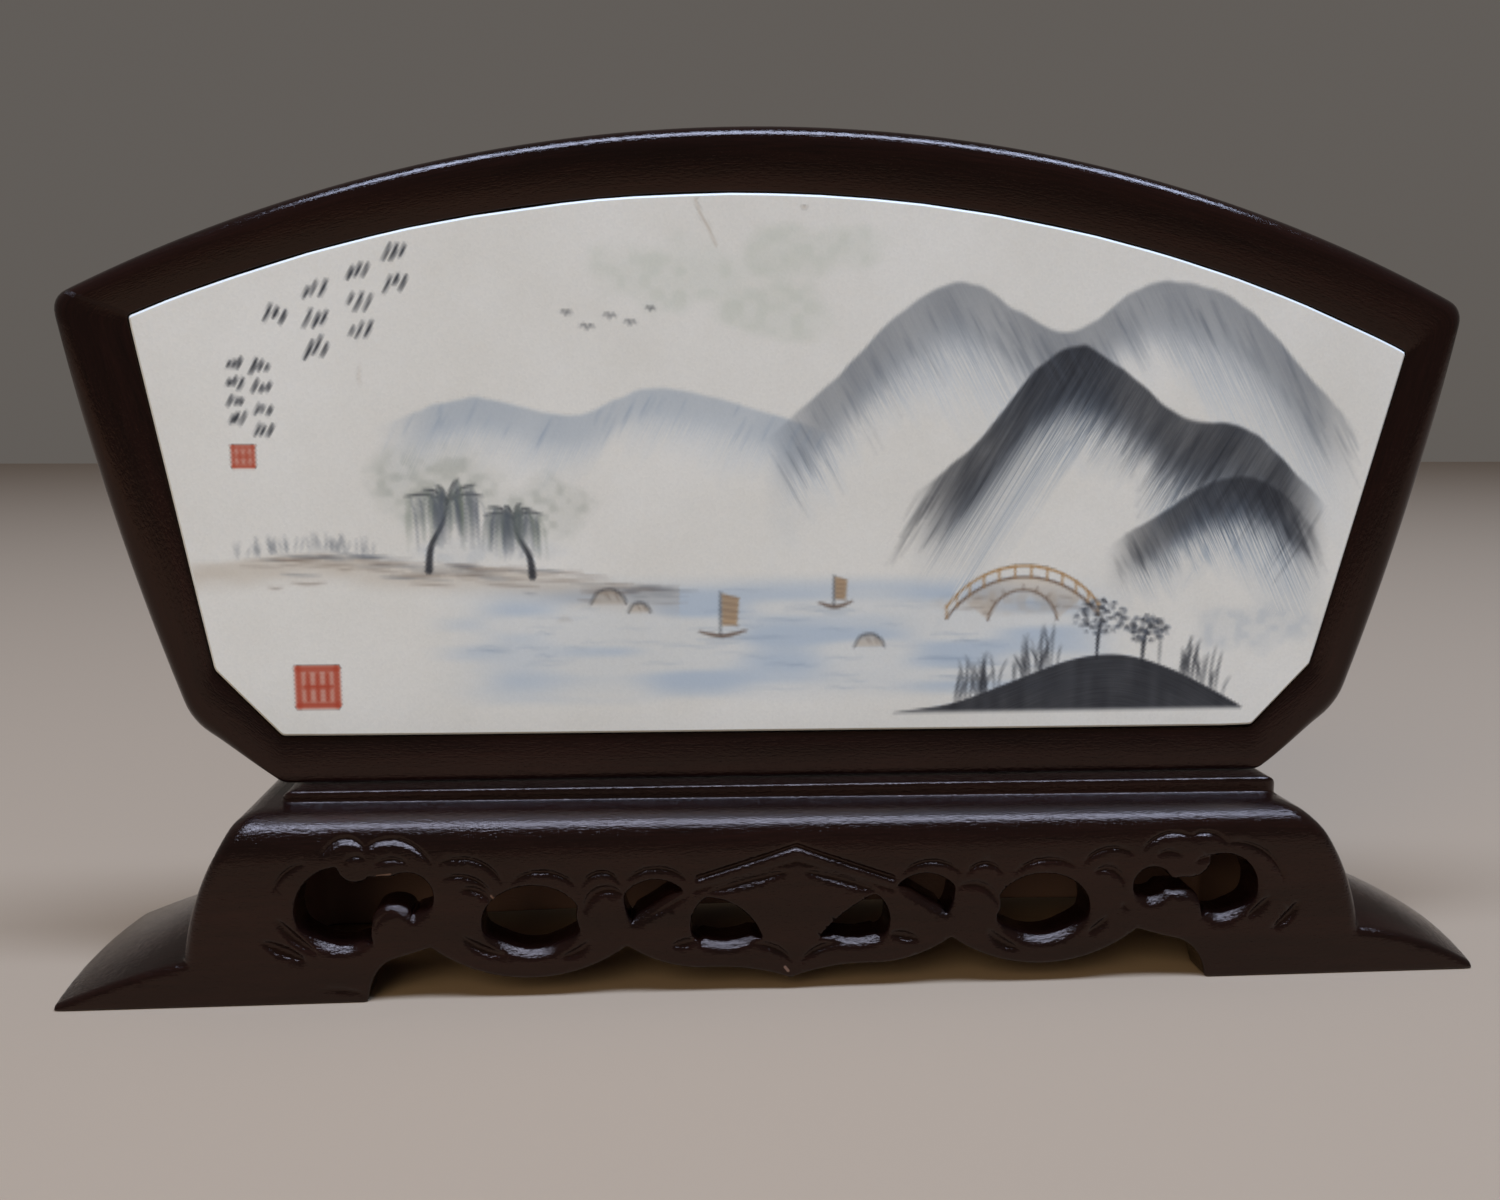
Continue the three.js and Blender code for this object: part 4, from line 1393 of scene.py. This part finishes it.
SKY_POOLS = tuple(
    Pool(at, half_length, half_height, Ink.MIST_GREEN, 0.34, seed, seed + 9, 2.6, (0.35, 0.75), 0.55)
    for at, half_length, half_height, seed in (
        ((-22, 158), 26, 9, 51), ((6, 163), 20, 7, 52), ((-2, 150), 16, 7, 53)))
LAND_POOLS = tuple(
    Pool(at, half_length, half_height, ink, cover, at[1], at[0] + 200, 1.8, (0.3, 0.8), 0.4)
    for at, half_length, half_height, ink, cover in (
        ((-78, 112), 17, 11, Ink.MOSS, 0.30), ((-55, 106), 13, 9, Ink.MOSS, 0.28),
        ((-66, 97), 20, 4, Ink.BLUE_GREY, 0.16), ((58, 84), 22, 4, Ink.SAND, 0.4),
        ((112, 78), 22, 7, Ink.BLUE_GREY, 0.2)))


class Painting:
    """A generic river scene: hills in mist, a bank with willows, two boats, a bridge and an inked mound."""

    def __init__(self, seed: int = 11) -> None:
        """Starts with an empty slab.

        Args:
            seed: Fixes every chance touch of the brush.
        """
        self.rng = np.random.default_rng(seed)
        self.strokes: list[Touch] = []

    # Soft washes

    def washes(self, x: np.ndarray, z: np.ndarray) -> tuple[np.ndarray, np.ndarray, np.ndarray, np.ndarray]:
        """The soft layers at places on the slab.

        Args:
            x: Places along the slab.
            z: Heights.
        Returns:
            Colour, cover, dryness and brush direction coordinates.
        """
        colour = np.zeros((len(x), 3))
        cover = np.zeros(len(x))
        dry = np.zeros(len(x))
        brush = np.stack([z, x, 0 * x], 1)

        def lay(tint: np.ndarray, amount: np.ndarray) -> None:
            """Lays one transparent layer over the others.

            Args:
                tint: Its colour, the same everywhere or one for each place.
                amount: Its cover at each place.
            """
            nonlocal colour, cover
            total = amount + cover * (1 - amount)
            safe = np.maximum(total, 1e-6)[:, None]
            colour = (tint * amount[:, None] + colour * (cover * (1 - amount))[:, None]) / safe
            cover = total

        for pool in SKY_POOLS:
            lay(perceived(pool.ink.value), pool.amount(x, z))
        for hill in HILLS:
            amount, faded = hill.cover_at(x, z)
            part = faded[:, None]
            shade = perceived(hill.ink.value) * (1 - part) + perceived(hill.mist.value) * part
            lay(shade, amount)
            held = smooth(amount, 0.02, 0.12)
            dry = dry * (1 - held) + hill.dry * (0.1 + 0.9 * smooth(faded, 0.1, 0.7)) * held
            across = hill.combed(x, z)
            strokes = np.stack([hill.height(x) - z, across, 0 * x + hill.seed], 1)
            brush = np.where((amount > 0.02)[:, None], strokes, brush)
        water = smooth(z, 60.0, 66.0) * (1 - smooth(z, 86.0, 92.0))
        water *= smooth(x, -84.0, -62.0) * (1 - smooth(x, 62.0, 84.0))
        bands = smooth(value_noise(x * 0.16, z, 3.2, 61), 0.25, 0.8)
        lay(perceived(Ink.PALE_BLUE.value), 0.62 * water * (0.25 + 0.75 * bands))
        shore = self.bank_height(x)
        bank = smooth(shore - z, -0.4, 1.5) * (1 - smooth(shore - z, 3.0, 9.0))
        lay(perceived(Ink.SAND.value), 0.42 * bank * (0.6 + 0.4 * value_noise(x * 0.3, z, 2.0, 63)))
        for pool in LAND_POOLS:
            lay(perceived(pool.ink.value), pool.amount(x, z))
        mound = self.mound_height(x) - z
        inked = smooth(mound, -0.2, 0.5) * (1 - smooth(-z, -59.2, -57.6))
        held = inked > 0.05
        lay(perceived(Ink.BLACK.value), 0.98 * inked * (0.9 + 0.1 * value_noise(x, z * 0.4, 2.0, 71)))
        dry = np.where(held, 0.06, dry)
        brush = np.where(held[:, None], np.stack([x, mound * 1.2, 0 * x + 5], 1), brush)
        return colour, cover, dry, brush

    @staticmethod
    def bank_height(x: np.ndarray) -> np.ndarray:
        """Height of the far bank's upper edge."""
        return height_over(x, [(-126, 95), (-104, 97), (-84, 94.5), (-60, 93), (-40, 90), (-24, 89)])

    @staticmethod
    def mound_height(x: np.ndarray) -> np.ndarray:
        """Height of the inked mound's top."""
        return height_over(x, [(26, 58.5), (40, 60.5), (54, 65.5), (68, 70.5), (80, 71.5), (92, 68),
                               (104, 62), (110, 58.5)], BELOW_SLAB)

    # Crisp strokes

    def stroke(self, points: Points, width: float, ink: Ink, cover: float, taper: float = 1.0) -> None:
        """Adds one stroke of the brush.

        Args:
            points: Points that the stroke passes.
            width: Its greatest width.
            ink: Its colour.
            cover: How much it covers.
            taper: How much thinner its ends are, from zero to one.
        """
        path = smooth_path(points, 4) if len(points) > 2 else np.linspace(points[0], points[-1], 4)
        share = np.linspace(0, 1, len(path))
        swell = 1 - taper * np.abs(2 * share - 1) ** 1.6
        self.strokes.append(Touch(path, np.maximum(width * swell, 0.07), ink, cover))

    def shape(self, corners: Points, ink: Ink, cover: float) -> None:
        """Adds one flat touch of colour with the given corners."""
        self.strokes.append(Touch(np.array(corners, float), None, ink, cover))

    def comb_hills(self) -> None:
        """Hairlines of a dry brush that follow each hill down from its crest."""
        for hill, count in zip(HILLS, (30, 120, 240, 90)):
            first, last = hill.crest[0][0] + 3, hill.crest[-1][0] - 3
            for x in self.rng.uniform(first, last, count):
                top = float(hill.height(np.array(x))) - self.rng.uniform(0.1, hill.reach * 0.3)
                length = self.rng.uniform(0.12, 0.42) * hill.reach
                sway = self.rng.uniform(-0.05, 0.05)
                end = (x - (hill.lean + sway) * length, top - length)
                middle = ((x + end[0]) / 2 + self.rng.uniform(-0.3, 0.3), (top + end[1]) / 2)
                self.stroke([(x, top), middle, end], self.rng.uniform(0.16, 0.34), hill.ink,
                            self.rng.uniform(0.2, 0.55))

    def willow(self, foot: tuple[float, float], height: float, sway: float) -> None:
        """A willow with a leaning trunk, a few boughs and hanging strands.

        Args:
            foot: Where the trunk stands.
            height: Height of the trunk.
            sway: How far it leans.
        """
        fx, fz = foot
        crown = (fx + sway, fz + height)
        trunk = [foot, (fx + sway * 0.15, fz + height * 0.35), (fx + sway * 0.75, fz + height * 0.7), crown]
        path = smooth_path(trunk, 5)
        self.strokes.append(Touch(path, np.linspace(1.7, 0.5, len(path)), Ink.BLACK, 0.85))
        boughs = []
        for turn in (-1.0, -0.62, -0.25, 0.2, 0.55, 0.95):
            reach = height * self.rng.uniform(0.42, 0.62)
            tip = (crown[0] + math.sin(turn * 1.35) * reach, crown[1] + math.cos(turn * 1.35) * reach * 0.55)
            middle = ((crown[0] + tip[0]) / 2, (crown[1] + tip[1]) / 2 + 1.0)
            self.stroke([crown, middle, tip], 0.55, Ink.BLACK, 0.8, 0.7)
            boughs.append((crown, middle, tip))
        for _ in range(105):
            bough = boughs[self.rng.integers(len(boughs))]
            share = self.rng.uniform(0.25, 1.0)
            start = bezier(*bough, 20)[int(share * 20)]
            fall = self.rng.uniform(0.35, 0.8) * height
            drift = self.rng.uniform(-1.2, 2.2)
            points = [tuple(start), (start[0] + drift * 0.7, start[1] - fall * 0.35),
                      (start[0] + drift, start[1] - fall)]
            ink = Ink.MOSS if self.rng.random() < 0.45 else Ink.GREY
            self.stroke(points, self.rng.uniform(0.2, 0.38), ink, self.rng.uniform(0.35, 0.75))

    def boat(self, at: tuple[float, float], size: float) -> None:
        """A small boat with a ribbed sail.

        Args:
            at: Middle of its waterline.
            size: Length of the hull.
        """
        x, z = at
        half = size / 2
        self.stroke([(x - half, z + 0.9), (x, z - 0.1), (x + half, z + 1.1)], 1.0, Ink.BROWN, 0.85, 0.6)
        mast = x - half * 0.1
        self.stroke([(mast, z + 0.4), (mast, z + size * 0.95)], 0.28, Ink.BLACK, 0.85, 0.3)
        top, low = z + size * 0.93, z + size * 0.22
        self.shape([(x - half * 0.05, top), (x + half * 0.72, top - size * 0.1), (x + half * 0.62, low),
                    (x - half * 0.02, low)], Ink.OCHRE, 0.6)
        for share in np.linspace(0.08, 0.92, 5):
            level = low + (top - low) * share
            self.stroke([(x - half * 0.03, level), (x + half * 0.68, level - size * 0.06)], 0.2,
                        Ink.BROWN, 0.75, 0.3)
        for drop, reach in ((0.9, 1.1), (1.7, 0.7)):
            level = z - drop
            self.stroke([(x - half * reach, level), (x + half * reach, level)], 0.2, Ink.BLUE_GREY, 0.55)

    def bridge(self) -> None:
        """A stone footbridge of one round arch, with a stepped rail, in ochre lines."""
        left, right, rise = (38.0, 80.5), (74.0, 81.0), 9.5
        middle = (left[0] + right[0]) / 2
        deck = arc_through(left, (middle, left[1] + rise), right, 22)
        rail = deck + (0, 2.6)
        self.strokes.append(Touch(deck, np.full(len(deck), 0.6), Ink.BROWN, 0.9))
        self.strokes.append(Touch(rail, np.full(len(rail), 0.5), Ink.OCHRE, 0.95))
        for low, high in zip(deck[::2], rail[::2]):
            self.stroke([tuple(low), tuple(high)], 0.36, Ink.OCHRE, 0.95, 0.2)
        arch = arc_through((middle - 8.2, 80.0), (middle, 87.0), (middle + 8.2, 80.0), 16)
        self.strokes.append(Touch(arch, np.full(len(arch), 0.5), Ink.BROWN, 0.85))
        self.shape([*map(tuple, deck[3:-3]), *map(tuple, arch[::-1])], Ink.OCHRE, 0.16)
        for share in np.linspace(0.12, 0.88, 7):
            here = arch[int(share * 16)]
            out = here + (here - (middle, 80.0)) * 0.17
            self.stroke([tuple(here), tuple(out)], 0.24, Ink.BROWN, 0.7, 0.2)
        for level, gap, reach in ((83.0, 9.4, 5.6), (85.4, 8.6, 3.0)):
            for way in (-1, 1):
                start = middle + way * gap
                self.stroke([(start, level), (start + way * reach, level - 0.4)], 0.2, Ink.BROWN, 0.6)

    def bank(self) -> None:
        """Shore lines, stones and small growth of the far bank."""
        for _ in range(110):
            x = self.rng.uniform(-122, -30)
            z = float(self.bank_height(np.array(x))) - abs(self.rng.normal(0, 2.6))
            length = self.rng.uniform(3, 11)
            ink = Ink.BROWN if self.rng.random() < 0.55 else Ink.GREY
            self.stroke([(x, z), (x + length / 2, z - 0.25), (x + length, z - self.rng.uniform(0, 0.5))],
                        self.rng.uniform(0.16, 0.3), ink, self.rng.uniform(0.3, 0.7))
        for _ in range(46):
            x = self.rng.uniform(-122, -92)
            z = float(self.bank_height(np.array(x))) + 0.2
            tip = (x + self.rng.uniform(-0.8, 0.8), z + self.rng.uniform(1.5, 4.0))
            self.stroke([(x, z), tip], 0.24, Ink.GREY, 0.5)
        for at, width, height in (((-40, 84.5), 8.0, 3.4), ((-33, 82.5), 5.0, 2.2), ((20, 74), 7.0, 3.0)):
            x, z = at
            crown = [(x - width / 2, z), (x - width * 0.3, z + height * 0.8), (x + width * 0.1, z + height),
                     (x + width * 0.42, z + height * 0.5), (x + width / 2, z)]
            self.shape([tuple(p) for p in smooth_path(crown, 4)], Ink.SAND, 0.5)
            self.stroke(crown, 0.34, Ink.BLACK, 0.8, 0.4)
            for crack in (((-0.1, 0.75), (0.05, 0.3)), ((0.2, 0.7), (0.3, 0.25))):
                self.stroke([(x + width * across, z + height * up) for across, up in crack], 0.22,
                            Ink.BROWN, 0.8)

    def ripples(self) -> None:
        """Thin lines on the water."""
        for _ in range(60):
            x, z = self.rng.uniform(-72, 60), self.rng.uniform(64, 88)
            length = self.rng.uniform(4, 15)
            points = [(x, z), (x + length / 3, z + 0.25), (x + 2 * length / 3, z - 0.15),
                      (x + length, z + 0.1)]
            self.stroke(points, 0.2, Ink.BLUE_GREY, self.rng.uniform(0.2, 0.5))

    def mound_growth(self) -> None:
        """Reeds and two round-headed shrubs on the inked mound."""
        for _ in range(70):
            x = self.rng.choice([46.0, 60.0, 98.0]) + self.rng.normal(0, 3.2)
            z = float(self.mound_height(np.array(x))) - 0.4
            height, sway = self.rng.uniform(4, 10.5), self.rng.uniform(-2.6, 2.6)
            self.stroke([(x, z), (x + sway * 0.35, z + height * 0.55), (x + sway, z + height)],
                        self.rng.uniform(0.24, 0.42), Ink.BLACK, self.rng.uniform(0.5, 0.85), 0.9)
        for foot, radius in (((74.0, 70.5), 5.2), ((85.0, 69.5), 4.2)):
            fx, fz = foot
            crown = (fx + 0.8, fz + radius * 1.9)
            self.stroke([foot, (fx + 0.2, fz + radius), crown], 0.8, Ink.BLACK, 0.9, 0.6)
            for _ in range(95):
                turn, out = self.rng.uniform(0, math.tau), radius * math.sqrt(self.rng.random())
                x, z = crown[0] + out * 1.25 * math.cos(turn), crown[1] + out * 0.8 * math.sin(turn)
                size = self.rng.uniform(0.5, 1.1)
                ink = Ink.BLACK if self.rng.random() < 0.5 else Ink.GREY
                self.stroke([(x - size / 2, z), (x, z + size * 0.25), (x + size / 2, z - 0.1)], 0.55, ink,
                            self.rng.uniform(0.4, 0.85), 0.6)

    def birds(self) -> None:
        """A loose flight of birds above the hills."""
        flight = ((-44, 146, 1.5), (-39, 148.4, 1.3), (-34.5, 147, 1.2), (-48.5, 149, 1.1), (-30, 150, 1.0))
        for x, z, size in flight:
            self.stroke([(x - size, z + 0.5), (x - size * 0.4, z + 0.9), (x, z)], 0.3, Ink.BLACK, 0.8)
            self.stroke([(x, z), (x + size * 0.5, z + 0.8), (x + size * 1.1, z + 0.3)], 0.3, Ink.BLACK, 0.8)

    def columns(self) -> None:
        """Columns of short plain strokes where a scene like this has its verse; they aren't letters."""
        spans = ((-85.3, 162.0, 150.0, 5.6), (-93.3, 158.0, 145.6, 5.6), (-102.7, 154.0, 140.4, 5.6),
                 (-111.2, 148.6, 144.0, 4.8), (-114.8, 137.6, 120.6, 4.2), (-120.4, 138.0, 122.4, 3.6))
        for x, top, low, width in spans:
            level = top
            while level > low:
                for way in (-0.32, 0.0, 0.32):
                    place = x + way * width + self.rng.uniform(-0.2, 0.2)
                    rise = width * self.rng.uniform(0.16, 0.4)
                    middle = level + self.rng.uniform(-0.1, 0.1) * width
                    slant = [(place - rise * 0.45, middle - rise), (place + rise * 0.1, middle),
                             (place + rise * 0.5, middle + rise)]
                    self.stroke(slant, self.rng.uniform(0.5, 0.85), Ink.BLACK, 0.92, 0.6)
                level -= width * 1.1

    def seals(self) -> None:
        """Two red squares with plain bars."""
        for (x, z), size, bars in (((-119.4, 118.0), 4.4, 2), ((-105.5, 66.2), 8.6, 3)):
            half, edge = size / 2, size * 0.075
            ring = [(-half, -half), (half, -half), (half, half), (-half, half)]
            for (ax, az), (bx, bz) in zip(ring, ring[1:] + ring[:1]):
                side = np.array([(x + ax, z + az), (x + bx, z + bz)])
                self.strokes.append(Touch(side, np.full(2, edge * 2.2), Ink.RED, 0.85))
            self.shape([(x + ax, z + az) for ax, az in ring], Ink.RED, 0.5)
            for i in range(bars):
                level = x - half + size * (i + 1) / (bars + 1)
                self.stroke([(level, z - half * 0.7), (level, z + half * 0.7)], edge * 1.6, Ink.RED, 0.9, 0.1)
            self.stroke([(x - half * 0.7, z), (x + half * 0.7, z)], edge * 1.4, Ink.RED, 0.9, 0.1)

    def wear(self) -> None:
        """Marks of age in the stone: two hairline cracks, a dot and a stain."""
        crack = [(-20.0, 174.4), (-18.6, 170.6), (-17.2, 168.4), (-15.4, 164.3)]
        self.stroke(crack, 0.34, Ink.STAIN, 0.6, 0.3)
        self.stroke([(-93.5, 137.9), (-93.9, 135.6), (-93.6, 133.6)], 0.3, Ink.STAIN, 0.35)
        self.stroke([(3.9, 172.7), (4.4, 172.7)], 0.6, Ink.STAIN, 0.6, 0.2)
        self.stroke([(-51.6, 80.6), (-49.9, 81.2), (-48.2, 80.7)], 1.5, Ink.STAIN, 0.16)

    def compose(self) -> None:
        """Draws every stroke, from the far hills to the foreground."""
        self.wear()
        self.comb_hills()
        self.birds()
        self.bank()
        self.ripples()
        self.willow((-80, 92.5), 15.5, 4.5)
        self.willow((-57, 91.0), 13.0, -4.0)
        self.boat((-14, 77.0), 10.5)
        self.boat((12, 83.5), 7.5)
        self.bridge()
        self.mound_growth()
        self.columns()
        self.seals()


@dataclass
class Slab:
    """The marble slab, a little uneven along its edge, with the painting on its face."""

    face: float = -7.6
    thickness: float = 6.0
    edge_ease: float = 0.5
    spacing: float = 0.6
    nibble: float = 0.3

    def build(self, finish: bpy.types.Material) -> bpy.types.Object:
        """Makes the slab's mesh with its paint.

        Args:
            finish: The marble.
        Returns:
            The piece.
        """
        outline = SLAB.outline()
        normals = outward(outline)
        walk = np.arange(len(outline)) * SLAB.spacing
        bitten = self.nibble * (value_noise(walk, 0, 4.0, 81) ** 2 + 0.4 * value_noise(walk, 9, 1.9, 82))
        flat, triangles, rim = self.net(outline - normals * (bitten + self.edge_ease)[:, None])
        outline = flat[rim] + outward(flat[rim]) * self.edge_ease
        count, start = len(rim), len(flat)
        behind = np.full(count, self.face + self.thickness)
        rings = [(flat, np.full(start, self.face)), (outline, np.full(count, self.face + self.edge_ease)),
                 (outline, behind)]
        points = np.concatenate([np.stack([p[:, 0], y, p[:, 1]], 1) for p, y in rings])
        faces = [tuple(t) for t in triangles]
        for i in range(count):
            j = (i + 1) % count
            faces.append((rim[i], rim[j], start + j, start + i))
            faces.append((start + i, start + j, start + count + j, start + count + i))
        faces.append(tuple(range(start + count, start + 2 * count)))
        piece = new_piece("painted_slab", points, faces, finish, "marble_slab")
        self.lay_paint(piece.data, points)
        return piece

    def net(self, inside: np.ndarray) -> tuple[np.ndarray, np.ndarray, list[int]]:
        """Divides the slab's face finely enough to carry the painting.

        Args:
            inside: Clockwise outline of the flat face.
        Returns:
            Places, triangles, and the clockwise places of the rim.
        """
        low, high = inside.min(axis=0), inside.max(axis=0)
        rows = np.arange(low[1], high[1], self.spacing * math.sqrt(0.75))
        x, z = np.meshgrid(np.arange(low[0], high[0], self.spacing), rows)
        x = (x + (np.arange(len(rows)) % 2)[:, None] * self.spacing / 2).ravel()
        z = z.ravel()
        kept = outline_distance(x, z, inside) < -0.6 * self.spacing
        places = np.concatenate([inside, np.stack([x, z], 1)[kept]])
        loop = list(range(len(inside)))[::-1]
        flat, _, triangles, _, _, _ = delaunay_2d_cdt(places.tolist(), [], [loop], 1, 1e-5, False)
        flat, triangles = np.array(flat), np.array(triangles)
        a, b, c = (flat[triangles[:, i]] for i in range(3))
        turn = (b[:, 0] - a[:, 0]) * (c[:, 1] - a[:, 1]) - (b[:, 1] - a[:, 1]) * (c[:, 0] - a[:, 0])
        triangles[turn < 0] = triangles[turn < 0][:, ::-1]
        sides = {(int(t[i]), int(t[i - 2])) for t in triangles for i in range(3)}
        following = {end: start for start, end in sides if (end, start) not in sides}
        rim = [next(iter(following))]
        while following[rim[-1]] != rim[0]:
            rim.append(following[rim[-1]])
        return flat, triangles, rim

    def lay_paint(self, mesh: bpy.types.Mesh, points: np.ndarray) -> None:
        """Stores the paint at the mesh's points: the washes first, and the strokes over them.

        Args:
            mesh: The slab's mesh.
            points: Its points in millimetres.
        """
        painting = Painting()
        painting.compose()
        x, z = points[:, 0], points[:, 2]
        colour, cover, dry, brush = painting.washes(x, z)
        for touch in painting.strokes:
            (low_x, low_z), (high_x, high_z) = touch.reach()
            near = np.flatnonzero((x > low_x) & (x < high_x) & (z > low_z) & (z < high_z))
            amount = touch.amount(x[near], z[near], self.spacing)
            under = cover[near] * (1 - amount)
            total = np.maximum(amount + under, 1e-6)
            tint = perceived(touch.ink.value)
            colour[near] = (tint * amount[:, None] + colour[near] * under[:, None]) / total[:, None]
            cover[near] = amount + under
            dry[near] *= 1 - amount
        cover[points[:, 1] > self.face + 0.1] = 0
        store(mesh, "paint", Layer.FLOAT_COLOR, np.column_stack([colour, cover]))
        store(mesh, "dry", Layer.FLOAT, dry)
        store(mesh, "brush", Layer.FLOAT_VECTOR, brush)


# Light and camera

@dataclass
class Studio:
    """A pale floor, a cool lamp overhead, a warm one in front, and the camera at the photograph's angle."""

    lens: float = 32.4
    sensor: float = 36.0
    eye: tuple = (-30.81, -313.09, 128.35)
    yaw: float = -0.0754
    pitch: float = -0.14
    roll: float = -0.0017
    nearest: float = 0.01
    floor_half: float = 3.0
    surroundings: str = "#fff4ea"
    surroundings_strength: float = 0.12

    def camera(self) -> None:
        """Places the camera."""
        data = bpy.data.cameras.new("view")
        data.lens = self.lens
        data.sensor_width = self.sensor
        data.clip_start = self.nearest
        camera = bpy.data.objects.new("view", data)
        turn = Matrix.Rotation(self.yaw, 4, "Z") @ Matrix.Rotation(self.pitch, 4, "X")
        turn = turn @ Matrix.Rotation(self.roll, 4, "Y") @ Matrix.Rotation(math.pi / 2, 4, "X")
        camera.matrix_world = Matrix.Translation([c * MM for c in self.eye]) @ turn
        bpy.context.scene.collection.objects.link(camera)
        bpy.context.scene.camera = camera

    def floor(self, finish: bpy.types.Material) -> None:
        """Lays the floor.

        Args:
            finish: Its paper.
        """
        half = self.floor_half
        corners = [(-half, -half, 0), (half, -half, 0), (half, half, 0), (-half, half, 0)]
        mesh = bpy.data.meshes.new("floor")
        mesh.from_pydata(corners, [], [list(range(len(corners)))])
        mesh.materials.append(finish)
        floor = bpy.data.objects.new("floor", mesh)
        bpy.context.scene.collection.objects.link(floor)

    @staticmethod
    def lamp(name: str, place: tuple, aim: tuple, size: tuple, power: float, colour: str) -> bpy.types.Object:
        """Hangs a soft light.

        Args:
            name: Its name.
            place: Where it hangs, in metres.
            aim: What it faces, in metres.
            size: Width and height in metres.
            power: Watts.
            colour: Hex colour.
        Returns:
            The lamp.
        """
        data = bpy.data.lights.new(name, "AREA")
        data.shape = "RECTANGLE"
        data.size, data.size_y = size
        data.energy = power
        data.color = linear(colour)[:3]
        lamp = bpy.data.objects.new(name, data)
        forward = Matrix.Translation(place).to_translation() - Matrix.Translation(aim).to_translation()
        lamp.matrix_world = Matrix.Translation(place) @ forward.to_track_quat("Z", "Y").to_matrix().to_4x4()
        bpy.context.scene.collection.objects.link(lamp)
        return lamp

    def lights(self) -> None:
        """Sets up the surroundings and the lamps."""
        world = bpy.data.worlds.new("studio")
        world.use_nodes = True
        tree = world.node_tree
        tree.nodes.clear()
        glow = add_node(tree, "ShaderNodeBackground", {
            "Color": linear(self.surroundings), "Strength": self.surroundings_strength})
        add_node(tree, "ShaderNodeOutputWorld", {"Surface": glow.outputs["Background"]})
        bpy.context.scene.world = world
        self.lamp("overhead_window", place=(0.28, -0.54, 2.6), aim=(0.28, -0.45, 0.0), size=(3.2, 0.7),
                  power=148.0, colour="#b6d2ff")
        # The fill lights the stone, and isn't mirrored in the lacquer
        fill = self.lamp("front_softbox", place=(-0.9, -1.9, 1.2), aim=(0.0, 0.0, 0.1), size=(1.4, 1.4),
                         power=18.5, colour="#ffeecd")
        fill.visible_glossy = False


def main() -> None:
    """Builds every piece and reports it."""
    logging.basicConfig(level=logging.INFO, format="%(name)s: %(message)s")
    bpy.context.scene.view_settings.view_transform = "Standard"
    studio = Studio()
    studio.camera()
    studio.floor(MattePaper().build())
    studio.lights()
    stand = Stand()
    stand.build(Lacquer("brushed_lacquer_on_carved_wood", marks=STAND_MARKS).build())
    board = Lacquer("brushed_lacquer_on_board", deep="#0c0505", worn="#1f0e0b", thread_height=0.05,
                    marks=FRAME_MARKS)
    Frame().build(stand, board.build())
    Slab().build(PaintedMarble().build())


if __name__ == "__main__":
    main()
